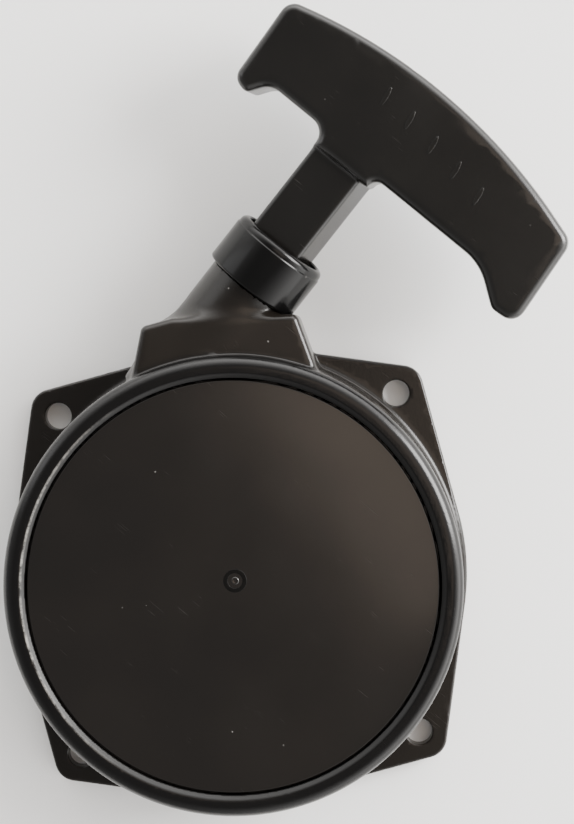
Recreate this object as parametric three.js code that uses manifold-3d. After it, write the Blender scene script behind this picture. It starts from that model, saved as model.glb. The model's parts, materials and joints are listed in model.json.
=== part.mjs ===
// Recoil (pull) starter for a small two-stroke engine, in millimetres, +Z up.
// The part lies on its mounting flange: the origin is on the reel's axis in the flange's mounting face,
// and +Z points through the drum to its closed front. The rope leaves towards +X +Y.
import * as THREE from "three";
import { mergeVertices } from "three/addons/utils/BufferGeometryUtils.js";
import Module from "manifold-3d";

const wasm = await Module();
wasm.setup();

// ---- Driving dimensions ----

const GAP = 0.3; // left between pieces that touch
const ROUND = 60; // sides of a large circle
const SMALL_ROUND = 24; // sides of a small circle
const DRUM_ROUND = 80; // sides of the drum and its disc
const TIDY = 0.004; // vertices closer to a straight line or flat face than this are dropped
const LEAST_RADIUS = 0.3; // of a corner drawn in past its own radius

// Mounting flange: a round plate with four ears, for M6 screws
const FLANGE_R = 57.5;
const FLANGE_T = 4;
const EAR_COUNT = 4;
const EAR_TURN = 48.9; // degrees from +X to the first ear
const EAR_HOLE_CIRCLE_R = 60.3;
const EAR_HOLE_R = 3.3;
const EAR_EDGE = 7.2; // hole centre to the ear's straight edges
const EAR_CORNER_R = 5.3;

// Drum
const DRUM_R = 55.3;
const DRUM_H = 30;
const DRUM_WALL = 2.9;
const RIM_FILLET = 3;
const RIM_INNER_R = 50.9;
const RIM_CHAMFER = 1;
const ROOF_TOP = 27.3;
const ROOF_T = 2.3;
const WALL_RIB_COUNT = 12;
const WALL_RIB = { depth: 1.8, width: 1.6, bottom: 6 };

// Inset disc in the drum's face
const DISC_R = 49.5;
const DISC_T = 1;
const DISC_RING_R = 2.9;
const DISC_RING_DEPTH = 0.4;

// Rope line: its distance from the reel's axis, its heading and its climb
const ROPE_R = 1.6;
const ROPE_OFFSET = 42.1;
const ROPE_HEADING = 51.5; // degrees from +X
const ROPE_CLIMB = 6.4; // degrees
const ROPE_Z = 14.1;
const ROPE_BEND_AT = 42; // along the heading, where the rope starts to climb
const MOUTH_AT = 72; // along the heading, the collar's mouth

// Neck block, tube and collar
const NECK_TOP = 26;
const NECK_WALL = 2.6;
const NECK_CORNERS = [
  [24.5, 40, 2],
  [15.2, 65.3, 2],
  [-15, 64.2, 2],
  [-22.4, 62.2, 2],
  [-26.8, 40, 2],
];
const TUBE_R = 10.7;
const TUBE_BORE_R = 4.5;
const SPIGOT_R = 8.5;
const SPIGOT_L = 5.3;
const COLLAR_R = 12.4;
const COLLAR_L = 13.2;
const COLLAR_MOUTH_R = 10.2;
const COLLAR_SEAT = 3.3; // depth of the wide mouth
const COLLAR_LIP = 1.2;
const EYELET_R = 2.3;
const EYELET_L = 3.6;

// Centre post and its screw
const POST_R = 7;
const POST_END = 7.6;
const INSERT_R = 3.3;
const INSERT_BORE_R = 2.7;
const INSERT_L = 10;
const SCREW_R = 2.4;
const SCREW_L = 12;
const SCREW_HEAD_R = 4.6;
const SCREW_HEAD_H = 2.6;
const WASHER_R = 6;
const WASHER_T = 1;
const PLATE_R = 13.2;
const PLATE_T = 1.4;
const PLATE_HOLES = 3;
const PLATE_HOLE_R = 1.8;
const PLATE_HOLE_CIRCLE_R = 8.7;
const FRICTION_SPRING_W = 4.2;
const FRICTION_SPRING_T = 0.4;

// Reel
const REEL_R = 45.5;
const REEL_BOTTOM = 9.4;
const REEL_WEB_TOP = 12;
const REEL_BARREL_R = 29.6;
const REEL_BARREL_WALL = 2;
const REEL_FLANGE_T = 1.6;
const REEL_GROOVE_W = 4.2;
const REEL_HUB_R = 12;
const REEL_BORE_R = 9.2;
const REEL_HUB_TOP = 23.4;
const REEL_RIBS = 8;
const REEL_RIB_W = 1.4;
const REEL_WINDOWS = [60, 120, 240, 300]; // degrees
const WINDOW_HALF_TURN = 15; // degrees
const WINDOW_MARGIN = 2.5; // left round a window
const ROPE_TURNS = 3;
const ROPE_PITCH = 3.5;
const ROPE_END_TURN = 14; // degrees from the last turn to the hole that the rope's end goes down

// Recoil spring in its steel case
const CASE_R = 26.8;
const CASE_T = 0.8;
const CASE_TOP = 24.7;
const CASE_BOTTOM = 13.3;
const CASE_EYE_R = 13;
const LID_T = 0.6;
const SPRING_INNER_R = 14;
const SPRING_OUTER_R = 24.6;
const SPRING_T = 0.5;
const SPRING_W = 8;
const SPRING_TURNS = 7;

// Pawls
const PAWL_SIDES = [0, 180]; // degrees from +X to each pivot
const PAWL_PIVOT_R = 19;
const PAWL_LEAN = -102; // heading of the folded pawl
const PAWL_BOTTOM = 5.6;
const PAWL_T = 2.6;
const PIN_R = 1.9;
const CLIP_R = 3.5;
const CLIP_T = 0.5;
const CLIP_HALF_TURN = 150; // degrees
const PIN_FOOT = 0.6; // left below the clip
const PIN_GROOVE = 0.5; // depth of the clip's groove
const PAWL_WIRE_R = 0.3;
const PAWL_CORNERS = [
  [-4, -3.6, 3],
  [6, -2.8, 9],
  [14, -1.8, 0.7],
  [14.6, 1.4, 0.9],
  [6, 4, 8],
  [-4, 3.8, 3],
];

// Pull handle: u runs along the grip, v along the pull, both from the centre of the collar's mouth
const HANDLE_ROLL = 4; // degrees about the pull
const GRIP_T = 17;
const GRIP_ROUND = 2.2;
const STEM_W = 16.5;
const STEM_T = 14;
const STEM_ROUND = 2.6;
const STEM_SLOPE = 2.4; // the stem's right side slopes in by this much towards its front
const STEM_DROP = 0.2; // the stem's middle lies this far behind the grip's
const STEM_FOOT = -2.9;
const STEM_END_COVER = 8; // the stem ends inside the grip, this far short of the pocket
const POCKET_R = 6;
const POCKET_AT = 44;
const KNOT_R = 2.9;
const GRIP_CORNERS = [
  [8.6, 58.3, 141],
  [-34.6, 47.1, 3.8],
  [-33.7, 24.1, 3.4],
  [-29.1, 23.2, 1.8],
  [-25.4, 28.4, 5],
  [-8.25, 28.2, 4],
  [-8.25, 23.6, 0],
  [8.25, 23.6, 0],
  [8.25, 26.5, 2.8],
  [40.6, 26.2, 14],
  [49.5, 19.6, 3],
  [56.4, 20, 3.6],
  [54.5, 43.7, 4],
];

// ---- Finishes ----

const FINISH = {
  blackPlastic: { color: 0x242120, roughness: 0.32, metalness: 0 },
  discPlastic: { color: 0x2c2725, roughness: 0.28, metalness: 0 },
  collarPlastic: { color: 0x1c1b1c, roughness: 0.18, metalness: 0 },
  reelNylon: { color: 0x3a3936, roughness: 0.5, metalness: 0 },
  steel: { color: 0x9a9b9c, roughness: 0.35, metalness: 1 },
  springSteel: { color: 0x4c5560, roughness: 0.3, metalness: 1 },
  bronze: { color: 0xa07a3e, roughness: 0.4, metalness: 1 },
  rope: { color: 0xc9c5ba, roughness: 0.9, metalness: 0 },
};

// ---- Helpers: solids ----

const radians = THREE.MathUtils.degToRad;

// A closed geometry as a solid, without the slivers that merging leaves at poles and seams.
function solidFrom(geometry) {
  const bare = new THREE.BufferGeometry();
  bare.setAttribute("position", geometry.getAttribute("position"));
  bare.setIndex(geometry.index);
  const merged = mergeVertices(bare);
  const corners = merged.index.array;
  const triVerts = [];
  for (let i = 0; i < corners.length; i += 3) {
    const [a, b, c] = corners.slice(i, i + 3);
    if (a !== b && b !== c && c !== a) triVerts.push(a, b, c);
  }
  const vertProperties = merged.attributes.position.array;
  const mesh = new wasm.Mesh({ numProp: 3, vertProperties, triVerts: new Uint32Array(triVerts) });
  return new wasm.Manifold(mesh);
}

function geometryFrom(solid) {
  const mesh = solid.simplify(TIDY).getMesh();
  const geometry = new THREE.BufferGeometry();
  geometry.setAttribute("position", new THREE.BufferAttribute(mesh.vertProperties, 3));
  geometry.setIndex(new THREE.BufferAttribute(mesh.triVerts, 1));
  geometry.computeVertexNormals();
  return geometry;
}

function join(...geometries) {
  return geometryFrom(geometries.map(solidFrom).reduce((sum, next) => sum.add(next)));
}

function cut(geometry, ...tools) {
  return geometryFrom(tools.map(solidFrom).reduce((left, tool) => left.subtract(tool), solidFrom(geometry)));
}

// A body of revolution about +Z; the profile is [radius, z] pairs with its outer side running upwards.
function lathe(profile, sides = ROUND) {
  const points = profile.map(([radius, z]) => new THREE.Vector2(radius, z));
  return new THREE.LatheGeometry(points, sides).rotateX(Math.PI / 2);
}

function disc(radius, bottom, top, sides = ROUND) {
  return lathe([[0, bottom], [radius, bottom], [radius, top], [0, top]], sides);
}

function ring(inner, outer, bottom, top, sides = ROUND) {
  return lathe([[inner, bottom], [outer, bottom], [outer, top], [inner, top], [inner, bottom]], sides);
}

function slab(shape, bottom, top) {
  const settings = { depth: top - bottom, bevelEnabled: false, curveSegments: 5 };
  return new THREE.ExtrudeGeometry(shape, settings).translate(0, 0, bottom);
}

function block(width, length, height, x, y, bottom) {
  return new THREE.BoxGeometry(width, length, height).translate(x, y, bottom + height / 2);
}

// One corner of an outline, with the unit directions to its neighbours and half the angle between them.
function cornerAt(corners, i) {
  const toPoint = ([x, y]) => new THREE.Vector2(x, y);
  const point = toPoint(corners[i]);
  const back = toPoint(corners[(i + corners.length - 1) % corners.length]).sub(point).normalize();
  const ahead = toPoint(corners[(i + 1) % corners.length]).sub(point).normalize();
  const half = Math.acos(back.dot(ahead)) / 2;
  const inward = back.clone().add(ahead).normalize();
  return { point, back, ahead, half, inward, concave: back.cross(ahead) > 0, radius: corners[i][2] };
}

// A closed anticlockwise outline from [x, y, radius] corners, each rounded by a tangent arc.
function roundedShape(corners) {
  const shape = new THREE.Shape();
  corners.forEach((_, i) => {
    const { point, back, ahead, half, inward, concave, radius } = cornerAt(corners, i);
    if (radius === 0) {
      shape.lineTo(point.x, point.y);
      return;
    }
    const reach = radius / Math.tan(half);
    const start = point.clone().addScaledVector(back, reach);
    const end = point.clone().addScaledVector(ahead, reach);
    const centre = point.clone().addScaledVector(inward, radius / Math.sin(half));
    if (i === 0) shape.moveTo(start.x, start.y);
    const from = Math.atan2(start.y - centre.y, start.x - centre.x);
    const to = Math.atan2(end.y - centre.y, end.x - centre.x);
    shape.absarc(centre.x, centre.y, radius, from, to, concave);
  });
  return shape;
}

// The corners of the same outline drawn in by a distance.
function insetCorners(corners, distance) {
  return corners.map((_, i) => {
    const { point, half, inward, concave, radius } = cornerAt(corners, i);
    const side = concave ? -1 : 1;
    const moved = point.addScaledVector(inward, (side * distance) / Math.sin(half));
    return [moved.x, moved.y, radius === 0 ? 0 : Math.max(radius - side * distance, LEAST_RADIUS)];
  });
}

// A slab centred on z = 0 whose top and bottom edges are rounded.
function roundedSlab(corners, thickness, edge, steps) {
  const levels = [];
  for (let i = 0; i <= steps; i++) {
    const angle = (Math.PI / 2) * (i / steps);
    const inset = edge * (1 - Math.sin(angle));
    const outline = roundedShape(insetCorners(corners, inset)).getPoints(3);
    levels.push({ outline, z: -thickness / 2 + edge * (1 - Math.cos(angle)) });
  }
  const mirrored = levels.map(({ outline, z }) => ({ outline, z: -z })).reverse();
  return loft([...levels, ...mirrored]);
}

// A closed body through outlines of equal length, from the lowest level to the highest.
function loft(levels) {
  const count = levels[0].outline.length;
  const positions = levels.flatMap(({ outline, z }) => outline.flatMap((at) => [at.x, at.y, z]));
  const triangles = [];
  for (let level = 0; level + 1 < levels.length; level++) {
    for (let i = 0; i < count; i++) {
      const [a, b] = [level * count + i, level * count + ((i + 1) % count)];
      triangles.push(a, b, b + count, a, b + count, a + count);
    }
  }
  const top = (levels.length - 1) * count;
  for (const [a, b, c] of THREE.ShapeUtils.triangulateShape(levels[0].outline, [])) triangles.push(a, c, b);
  for (const face of THREE.ShapeUtils.triangulateShape(levels.at(-1).outline, [])) {
    triangles.push(...face.map((corner) => corner + top));
  }
  const geometry = new THREE.BufferGeometry();
  geometry.setAttribute("position", new THREE.Float32BufferAttribute(positions, 3));
  return geometry.setIndex(triangles);
}

// A rod of round section along a smooth curve through the points.
function rod(points, radius, sides, steps) {
  const section = new THREE.Shape(circlePoints(radius, sides));
  const extrudePath = new THREE.CatmullRomCurve3(points);
  return new THREE.ExtrudeGeometry(section, { steps, extrudePath, bevelEnabled: false });
}

function circlePoints(radius, sides) {
  return Array.from({ length: sides }, (_, i) => polar(radius, (360 / sides) * i));
}

function polar(radius, degrees) {
  const angle = radians(degrees);
  return new THREE.Vector2(radius * Math.cos(angle), radius * Math.sin(angle));
}

// ---- Helpers: the rope line's frame ----

const heading = new THREE.Vector3(...polar(1, ROPE_HEADING).toArray(), 0);
const across = new THREE.Vector3(heading.y, -heading.x, 0);
const ropeFoot = across.clone().multiplyScalar(-ROPE_OFFSET).setZ(ROPE_Z);
const climb = radians(ROPE_CLIMB);
const pull = heading.clone().multiplyScalar(Math.cos(climb)).setZ(Math.sin(climb));
const mouth = ropeFoot
  .clone()
  .addScaledVector(heading, MOUTH_AT)
  .setZ(ROPE_Z + (MOUTH_AT - ROPE_BEND_AT) * Math.tan(climb));

// Local +Z along the pull, local +X across it, origin at the centre of the collar's mouth.
const alongPull = new THREE.Matrix4()
  .makeBasis(across, pull.clone().cross(across), pull)
  .setPosition(mouth);

// Local +Y along the pull and +Z up, rolled a little about the pull, for the handle.
const handleFrame = new THREE.Matrix4()
  .makeBasis(across, pull, across.clone().cross(pull))
  .setPosition(mouth)
  .multiply(new THREE.Matrix4().makeRotationY(-radians(HANDLE_ROLL)));

// ---- Housing ----

function flangeOutline() {
  const half = Math.acos((FLANGE_R - EAR_EDGE) / EAR_HOLE_CIRCLE_R);
  const shape = new THREE.Shape();
  for (let i = 0; i < EAR_COUNT; i++) {
    const ear = radians(EAR_TURN + (360 / EAR_COUNT) * i);
    const nextEar = ear + (2 * Math.PI) / EAR_COUNT;
    const reach = (FLANGE_R - EAR_CORNER_R) / Math.cos(half);
    shape.absarc(reach * Math.cos(ear), reach * Math.sin(ear), EAR_CORNER_R, ear - half, ear + half);
    shape.absarc(0, 0, FLANGE_R, ear + half, nextEar - half);
  }
  return shape;
}

function earHoles() {
  return Array.from({ length: EAR_COUNT }, (_, i) => {
    const centre = polar(EAR_HOLE_CIRCLE_R, EAR_TURN + (360 / EAR_COUNT) * i);
    return disc(EAR_HOLE_R, -1, FLANGE_T + 1, SMALL_ROUND).translate(centre.x, centre.y, 0);
  });
}

function drumProfile() {
  const inner = DRUM_R - DRUM_WALL;
  const roofUnder = ROOF_TOP - ROOF_T;
  const bevel = RIM_FILLET * (1 - Math.SQRT1_2);
  const recess = RIM_INNER_R - RIM_CHAMFER;
  return [
    [0, roofUnder],
    [inner, roofUnder],
    [inner, 0],
    [DRUM_R, 0],
    [DRUM_R, DRUM_H - RIM_FILLET],
    [DRUM_R - bevel, DRUM_H - bevel],
    [DRUM_R - RIM_FILLET, DRUM_H],
    [RIM_INNER_R, DRUM_H],
    [recess, DRUM_H - RIM_CHAMFER],
    [recess, ROOF_TOP],
    [0, ROOF_TOP],
  ];
}

function wallRib(i) {
  const { depth, width, bottom } = WALL_RIB;
  const inner = DRUM_R - DRUM_WALL;
  const height = ROOF_TOP - bottom - ROOF_T / 2;
  const rib = block(depth + 1, width, height, inner + (1 - depth) / 2, 0, bottom);
  return rib.rotateZ(radians((360 / WALL_RIB_COUNT) * (i + 0.5)));
}

function neckBlock() {
  const cored = roundedShape(insetCorners(NECK_CORNERS, NECK_WALL));
  const core = cut(slab(cored, -1, NECK_TOP - NECK_WALL), disc(DRUM_R, -2, DRUM_H));
  const collarRoom = disc(COLLAR_R + GAP, -COLLAR_L - GAP, 0, 48).applyMatrix4(alongPull);
  return cut(slab(roundedShape(NECK_CORNERS), 0, NECK_TOP), core, disc(DRUM_R - 1, -1, DRUM_H), collarRoom);
}

function ropeTube() {
  const back = -MOUTH_AT + DRUM_R / 2;
  const end = -COLLAR_L - GAP;
  const tube = lathe([
    [0, back],
    [TUBE_R, back],
    [TUBE_R, end],
    [SPIGOT_R, end],
    [SPIGOT_R, end + SPIGOT_L],
    [0, end + SPIGOT_L],
  ], 48).applyMatrix4(alongPull);
  return cut(tube, disc(DRUM_R - DRUM_WALL, -5, DRUM_H + 5));
}

function ropePassages() {
  const climbing = disc(TUBE_BORE_R, -MOUTH_AT + ROPE_BEND_AT - 3, 0, SMALL_ROUND).applyMatrix4(alongPull);
  const level = disc(TUBE_BORE_R, 0, ROPE_BEND_AT + 1, SMALL_ROUND)
    .rotateX(-Math.PI / 2)
    .rotateZ(radians(ROPE_HEADING - 90))
    .translate(ropeFoot.x, ropeFoot.y, ropeFoot.z);
  return [climbing, level];
}

function housing() {
  const plate = cut(slab(flangeOutline(), 0, FLANGE_T), disc(DRUM_R - 1, -1, FLANGE_T + 1), ...earHoles());
  const post = disc(POST_R, POST_END, ROOF_TOP - ROOF_T / 2, 48);
  const insertHole = disc(INSERT_R + GAP, POST_END - 1, POST_END + INSERT_L + 2 * GAP + 1, SMALL_ROUND);
  const ribs = Array.from({ length: WALL_RIB_COUNT }, (_, i) => wallRib(i));
  const shell = join(plate, lathe(drumProfile(), DRUM_ROUND), neckBlock(), ropeTube(), post, ...ribs);
  return cut(shell, insertHole, ...ropePassages());
}

function frontDisc() {
  const bottom = ROOF_TOP + GAP;
  const top = bottom + DISC_T;
  const floor = top - DISC_RING_DEPTH;
  return lathe([
    [0, bottom],
    [DISC_R, bottom],
    [DISC_R, top],
    [DISC_RING_R + 0.5, top],
    [DISC_RING_R, floor],
    [DISC_RING_R - 0.5, top - 0.1],
    [0, top - 0.1],
  ], DRUM_ROUND);
}

function ropeCollar() {
  const seat = SPIGOT_R + GAP;
  return lathe([
    [seat, -COLLAR_L],
    [COLLAR_R, -COLLAR_L],
    [COLLAR_R, -COLLAR_LIP],
    [COLLAR_R - COLLAR_LIP, 0],
    [COLLAR_MOUTH_R, 0],
    [COLLAR_MOUTH_R, -COLLAR_SEAT],
    [seat, -COLLAR_SEAT],
    [seat, -COLLAR_L],
  ], 48);
}

function guideBush() {
  const top = -COLLAR_SEAT - GAP;
  const bottom = top - EYELET_L;
  const middle = (top + bottom) / 2;
  const flare = EYELET_R + EYELET_L / 2;
  return lathe([
    [flare, bottom],
    [SPIGOT_R, bottom],
    [SPIGOT_R, top],
    [flare, top],
    [EYELET_R, middle + 0.6],
    [EYELET_R, middle - 0.6],
    [flare, bottom],
  ], 36);
}

// ---- Recoil spring and case ----

function springCase() {
  return lathe([
    [CASE_R - CASE_T, CASE_BOTTOM],
    [CASE_R, CASE_BOTTOM],
    [CASE_R, CASE_TOP],
    [CASE_EYE_R, CASE_TOP],
    [CASE_EYE_R, CASE_TOP - CASE_T],
    [CASE_R - CASE_T, CASE_TOP - CASE_T],
    [CASE_R - CASE_T, CASE_BOTTOM],
  ]);
}

function recoilSpring() {
  const steps = SPRING_TURNS * 18;
  const inside = [];
  const outside = [];
  for (let i = 0; i <= steps; i++) {
    const share = i / steps;
    const degrees = 360 * SPRING_TURNS * share;
    const radius = SPRING_INNER_R + (SPRING_OUTER_R - SPRING_INNER_R) * share;
    outside.push(polar(radius + SPRING_T, degrees));
    inside.unshift(polar(radius, degrees));
  }
  const middle = (CASE_TOP + CASE_BOTTOM) / 2;
  return slab(new THREE.Shape([...outside, ...inside]), middle - SPRING_W / 2, middle + SPRING_W / 2);
}

// ---- Reel and rope ----

function reelProfile() {
  const grooveTop = REEL_WEB_TOP + REEL_GROOVE_W;
  const barrelIn = REEL_BARREL_R - REEL_BARREL_WALL;
  return [
    [REEL_BORE_R, REEL_BOTTOM],
    [REEL_BARREL_R, REEL_BOTTOM],
    [REEL_BARREL_R, REEL_WEB_TOP - REEL_FLANGE_T],
    [REEL_R, REEL_WEB_TOP - REEL_FLANGE_T],
    [REEL_R, REEL_WEB_TOP],
    [REEL_BARREL_R, REEL_WEB_TOP],
    [REEL_BARREL_R, grooveTop],
    [REEL_R, grooveTop],
    [REEL_R, grooveTop + REEL_FLANGE_T],
    [barrelIn, grooveTop + REEL_FLANGE_T],
    [barrelIn, REEL_WEB_TOP],
    [REEL_HUB_R, REEL_WEB_TOP],
    [REEL_HUB_R, REEL_HUB_TOP],
    [REEL_BORE_R, REEL_HUB_TOP],
    [REEL_BORE_R, REEL_BOTTOM],
  ];
}

function reelWindow(degrees) {
  const half = radians(WINDOW_HALF_TURN);
  const inner = REEL_HUB_R + WINDOW_MARGIN;
  const outer = REEL_BARREL_R - REEL_BARREL_WALL - WINDOW_MARGIN;
  const shape = new THREE.Shape().absarc(0, 0, outer, -half, half).absarc(0, 0, inner, half, -half, true);
  return slab(shape, REEL_BOTTOM - 1, REEL_WEB_TOP + 1).rotateZ(radians(degrees));
}

function reelRib(i) {
  const length = REEL_R - REEL_BARREL_R - 1;
  const height = REEL_WEB_TOP - REEL_FLANGE_T - REEL_BOTTOM + 0.5;
  const rib = block(length + 1, REEL_RIB_W, height, REEL_BARREL_R + length / 2 - 0.5, 0, REEL_BOTTOM);
  return rib.rotateZ(radians((360 / REEL_RIBS) * (i + 0.5)));
}

function ropeEndAngle() {
  return ROPE_HEADING + 90 + 360 * ROPE_TURNS + ROPE_END_TURN;
}

function ropeReel() {
  const ribs = Array.from({ length: REEL_RIBS }, (_, i) => reelRib(i));
  const windows = REEL_WINDOWS.map(reelWindow);
  const pinHoles = PAWL_SIDES.map((side) => {
    const centre = polar(PAWL_PIVOT_R, side);
    return disc(PIN_R + GAP, REEL_BOTTOM - 1, REEL_WEB_TOP + 1, SMALL_ROUND).translate(centre.x, centre.y, 0);
  });
  const ropeSlot = [0, -6].map((lag) => {
    const centre = polar(REEL_BARREL_R + ROPE_R + GAP, ropeEndAngle() + lag);
    return disc(1.7 * ROPE_R, REEL_BOTTOM - 1, REEL_WEB_TOP + 1, 12).translate(centre.x, centre.y, 0);
  });
  return cut(join(lathe(reelProfile()), ...ribs), ...windows, ...pinHoles, ...ropeSlot);
}

function ropeCoil() {
  const points = [];
  const stepsPerTurn = 24;
  for (let i = 0; i <= ROPE_TURNS * stepsPerTurn; i++) {
    const turns = i / stepsPerTurn;
    const at = polar(ROPE_OFFSET - ROPE_PITCH * turns, ROPE_HEADING + 90 + 360 * turns);
    points.push(new THREE.Vector3(at.x, at.y, ROPE_Z));
  }
  const end = polar(REEL_BARREL_R + ROPE_R + GAP, ropeEndAngle());
  points.push(new THREE.Vector3(end.x, end.y, ROPE_Z - ROPE_R));
  points.push(new THREE.Vector3(end.x, end.y, REEL_WEB_TOP - REEL_FLANGE_T));
  return rod(points, ROPE_R, 6, 80);
}

function reelKnot() {
  const end = polar(REEL_BARREL_R + ROPE_R + GAP, ropeEndAngle());
  const centre = REEL_WEB_TOP - REEL_FLANGE_T - KNOT_R - GAP;
  return new THREE.SphereGeometry(KNOT_R, 14, 10).translate(end.x, end.y, centre);
}

function ropeRun() {
  const top = mouth.clone().addScaledVector(pull, POCKET_AT + GAP + WASHER_T);
  const points = [
    ropeFoot.clone().addScaledVector(heading, GAP),
    ropeFoot.clone().addScaledVector(heading, ROPE_BEND_AT / 2),
    ropeFoot.clone().addScaledVector(heading, ROPE_BEND_AT - 4),
    ropeFoot.clone().addScaledVector(heading, ROPE_BEND_AT + 4).setZ(ROPE_Z + 4 * Math.tan(climb)),
    mouth.clone().addScaledVector(pull, -COLLAR_L),
    mouth.clone(),
    mouth.clone().addScaledVector(pull, POCKET_AT / 2),
    top,
  ];
  return rod(points, ROPE_R, 8, 28);
}

// ---- Pawls ----

function pawl() {
  const body = slab(roundedShape(PAWL_CORNERS), PAWL_BOTTOM, PAWL_BOTTOM + PAWL_T);
  return cut(body, disc(PIN_R + GAP, 0, REEL_BOTTOM, SMALL_ROUND)).rotateZ(radians(PAWL_LEAN));
}

function pawlPin() {
  const grooveBottom = PAWL_BOTTOM - CLIP_T - 2 * GAP;
  const foot = grooveBottom - PIN_FOOT;
  return lathe([
    [0, foot],
    [PIN_R, foot],
    [PIN_R, grooveBottom],
    [PIN_R - PIN_GROOVE, grooveBottom],
    [PIN_R - PIN_GROOVE, PAWL_BOTTOM],
    [PIN_R, PAWL_BOTTOM],
    [PIN_R, REEL_WEB_TOP - GAP],
    [0, REEL_WEB_TOP - GAP],
  ], SMALL_ROUND);
}

function pawlClip() {
  const half = radians(CLIP_HALF_TURN);
  const inner = PIN_R - 0.2;
  const shape = new THREE.Shape().absarc(0, 0, CLIP_R, -half, half).absarc(0, 0, inner, half, -half, true);
  return slab(shape, PAWL_BOTTOM - GAP - CLIP_T, PAWL_BOTTOM - GAP);
}

function pawlSpring() {
  const loop = PIN_R + 3 * PAWL_WIRE_R;
  const z = REEL_BOTTOM - GAP - PAWL_WIRE_R;
  const points = [new THREE.Vector3(loop, -9, z)];
  for (let degrees = 0; degrees <= 300; degrees += 30) {
    const at = polar(loop, degrees);
    points.push(new THREE.Vector3(at.x, at.y, z));
  }
  points.push(new THREE.Vector3(8, -loop - 2, z));
  return rod(points, PAWL_WIRE_R, 6, 24);
}

// ---- Centre screw stack ----

function guidePlate() {
  const top = POST_END - GAP;
  const holes = Array.from({ length: PLATE_HOLES }, (_, i) => {
    const centre = polar(PLATE_HOLE_CIRCLE_R, (360 / PLATE_HOLES) * i + 90);
    return disc(PLATE_HOLE_R, 0, POST_END, 16).translate(centre.x, centre.y, 0);
  });
  return cut(ring(SCREW_R + GAP, PLATE_R, top - PLATE_T, top, 48), ...holes);
}

function frictionSpring() {
  const low = POST_END + GAP;
  const high = REEL_BOTTOM - GAP;
  const inner = POST_R + GAP;
  const outer = inner + FRICTION_SPRING_W;
  return lathe([
    [inner, high - FRICTION_SPRING_T],
    [outer, low],
    [outer, low + FRICTION_SPRING_T],
    [inner, high],
    [inner, high - FRICTION_SPRING_T],
  ], 48);
}

function centreScrew() {
  const head = POST_END - 3 * GAP - PLATE_T - WASHER_T;
  const hexagon = new THREE.Shape(circlePoints(SCREW_HEAD_R, 6));
  const shank = disc(SCREW_R, head - 1, head + SCREW_L, SMALL_ROUND);
  return join(slab(hexagon, head - SCREW_HEAD_H, head), shank);
}

// ---- Pull handle ----

function stem() {
  const w = STEM_W / 2;
  const t = STEM_T / 2;
  const section = roundedShape([
    [w, t, STEM_ROUND],
    [-w, t, STEM_ROUND],
    [-w, -t, STEM_ROUND],
    [w - STEM_SLOPE, -t, STEM_ROUND / 2],
  ]);
  const top = POCKET_AT - STEM_END_COVER;
  return slab(section, STEM_FOOT, top).rotateX(-Math.PI / 2).translate(0, 0, -STEM_DROP);
}

function pullHandle() {
  const ropeBore = disc(ROPE_R + 2 * GAP, STEM_FOOT - 1, POCKET_AT + 1, 16).rotateX(-Math.PI / 2);
  const pocket = disc(POCKET_R, POCKET_AT, POCKET_AT + 20, SMALL_ROUND).rotateX(-Math.PI / 2);
  return cut(join(roundedSlab(GRIP_CORNERS, GRIP_T, GRIP_ROUND, 2), stem()), ropeBore, pocket);
}

function handleWasher() {
  const bottom = POCKET_AT + GAP;
  return ring(ROPE_R + 2 * GAP, POCKET_R - 1, bottom, bottom + WASHER_T, SMALL_ROUND).rotateX(-Math.PI / 2);
}

function handleKnot() {
  const bottom = POCKET_AT + 2 * GAP + WASHER_T;
  return new THREE.SphereGeometry(KNOT_R, 14, 10).translate(0, bottom + KNOT_R, 0);
}

// ---- Assembly ----

function add(parent, name, geometry, finish) {
  const mesh = new THREE.Mesh(geometry, new THREE.MeshStandardMaterial(FINISH[finish]));
  mesh.name = name;
  parent.add(mesh);
}

function placedGroup(parent, matrix) {
  const placed = new THREE.Group();
  placed.applyMatrix4(matrix);
  parent.add(placed);
  return placed;
}

const group = new THREE.Group();
const ropeLine = placedGroup(group, alongPull);
const handle = placedGroup(group, handleFrame);

add(group, "housing", housing(), "blackPlastic");
add(group, "front_disc", frontDisc(), "discPlastic");
add(ropeLine, "rope_collar", ropeCollar(), "collarPlastic");
add(ropeLine, "guide_bush", guideBush(), "steel");

add(group, "spring_cassette", springCase(), "steel");
add(group, "cassette_lid", ring(CASE_EYE_R, CASE_R, CASE_BOTTOM - GAP - LID_T, CASE_BOTTOM - GAP), "steel");
add(group, "recoil_spring", recoilSpring(), "springSteel");
const insertBottom = POST_END + GAP;
const insertWall = [INSERT_BORE_R, INSERT_R, insertBottom, insertBottom + INSERT_L];
add(group, "post_insert", ring(...insertWall, SMALL_ROUND), "bronze");
add(group, "guide_plate", guidePlate(), "steel");
add(group, "friction_spring", frictionSpring(), "springSteel");
const washerTop = POST_END - 2 * GAP - PLATE_T;
add(group, "screw_washer", ring(SCREW_R + GAP, WASHER_R, washerTop - WASHER_T, washerTop, 36), "steel");
add(group, "centre_screw", centreScrew(), "steel");

add(group, "rope_reel", ropeReel(), "reelNylon");
add(group, "reel_bush", ring(POST_R + GAP, REEL_BORE_R - GAP, REEL_BOTTOM, REEL_HUB_TOP, 48), "bronze");
add(group, "rope_coil", ropeCoil(), "rope");
add(group, "reel_knot", reelKnot(), "rope");

PAWL_SIDES.forEach((side, i) => {
  const turn = new THREE.Matrix4().makeRotationZ(radians(side));
  const pivot = placedGroup(group, turn.multiply(new THREE.Matrix4().makeTranslation(PAWL_PIVOT_R, 0, 0)));
  add(pivot, `pawl_${i + 1}`, pawl(), "steel");
  add(pivot, `pawl_pin_${i + 1}`, pawlPin(), "steel");
  add(pivot, `pawl_clip_${i + 1}`, pawlClip(), "springSteel");
  add(pivot, `pawl_spring_${i + 1}`, pawlSpring(), "springSteel");
});

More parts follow.
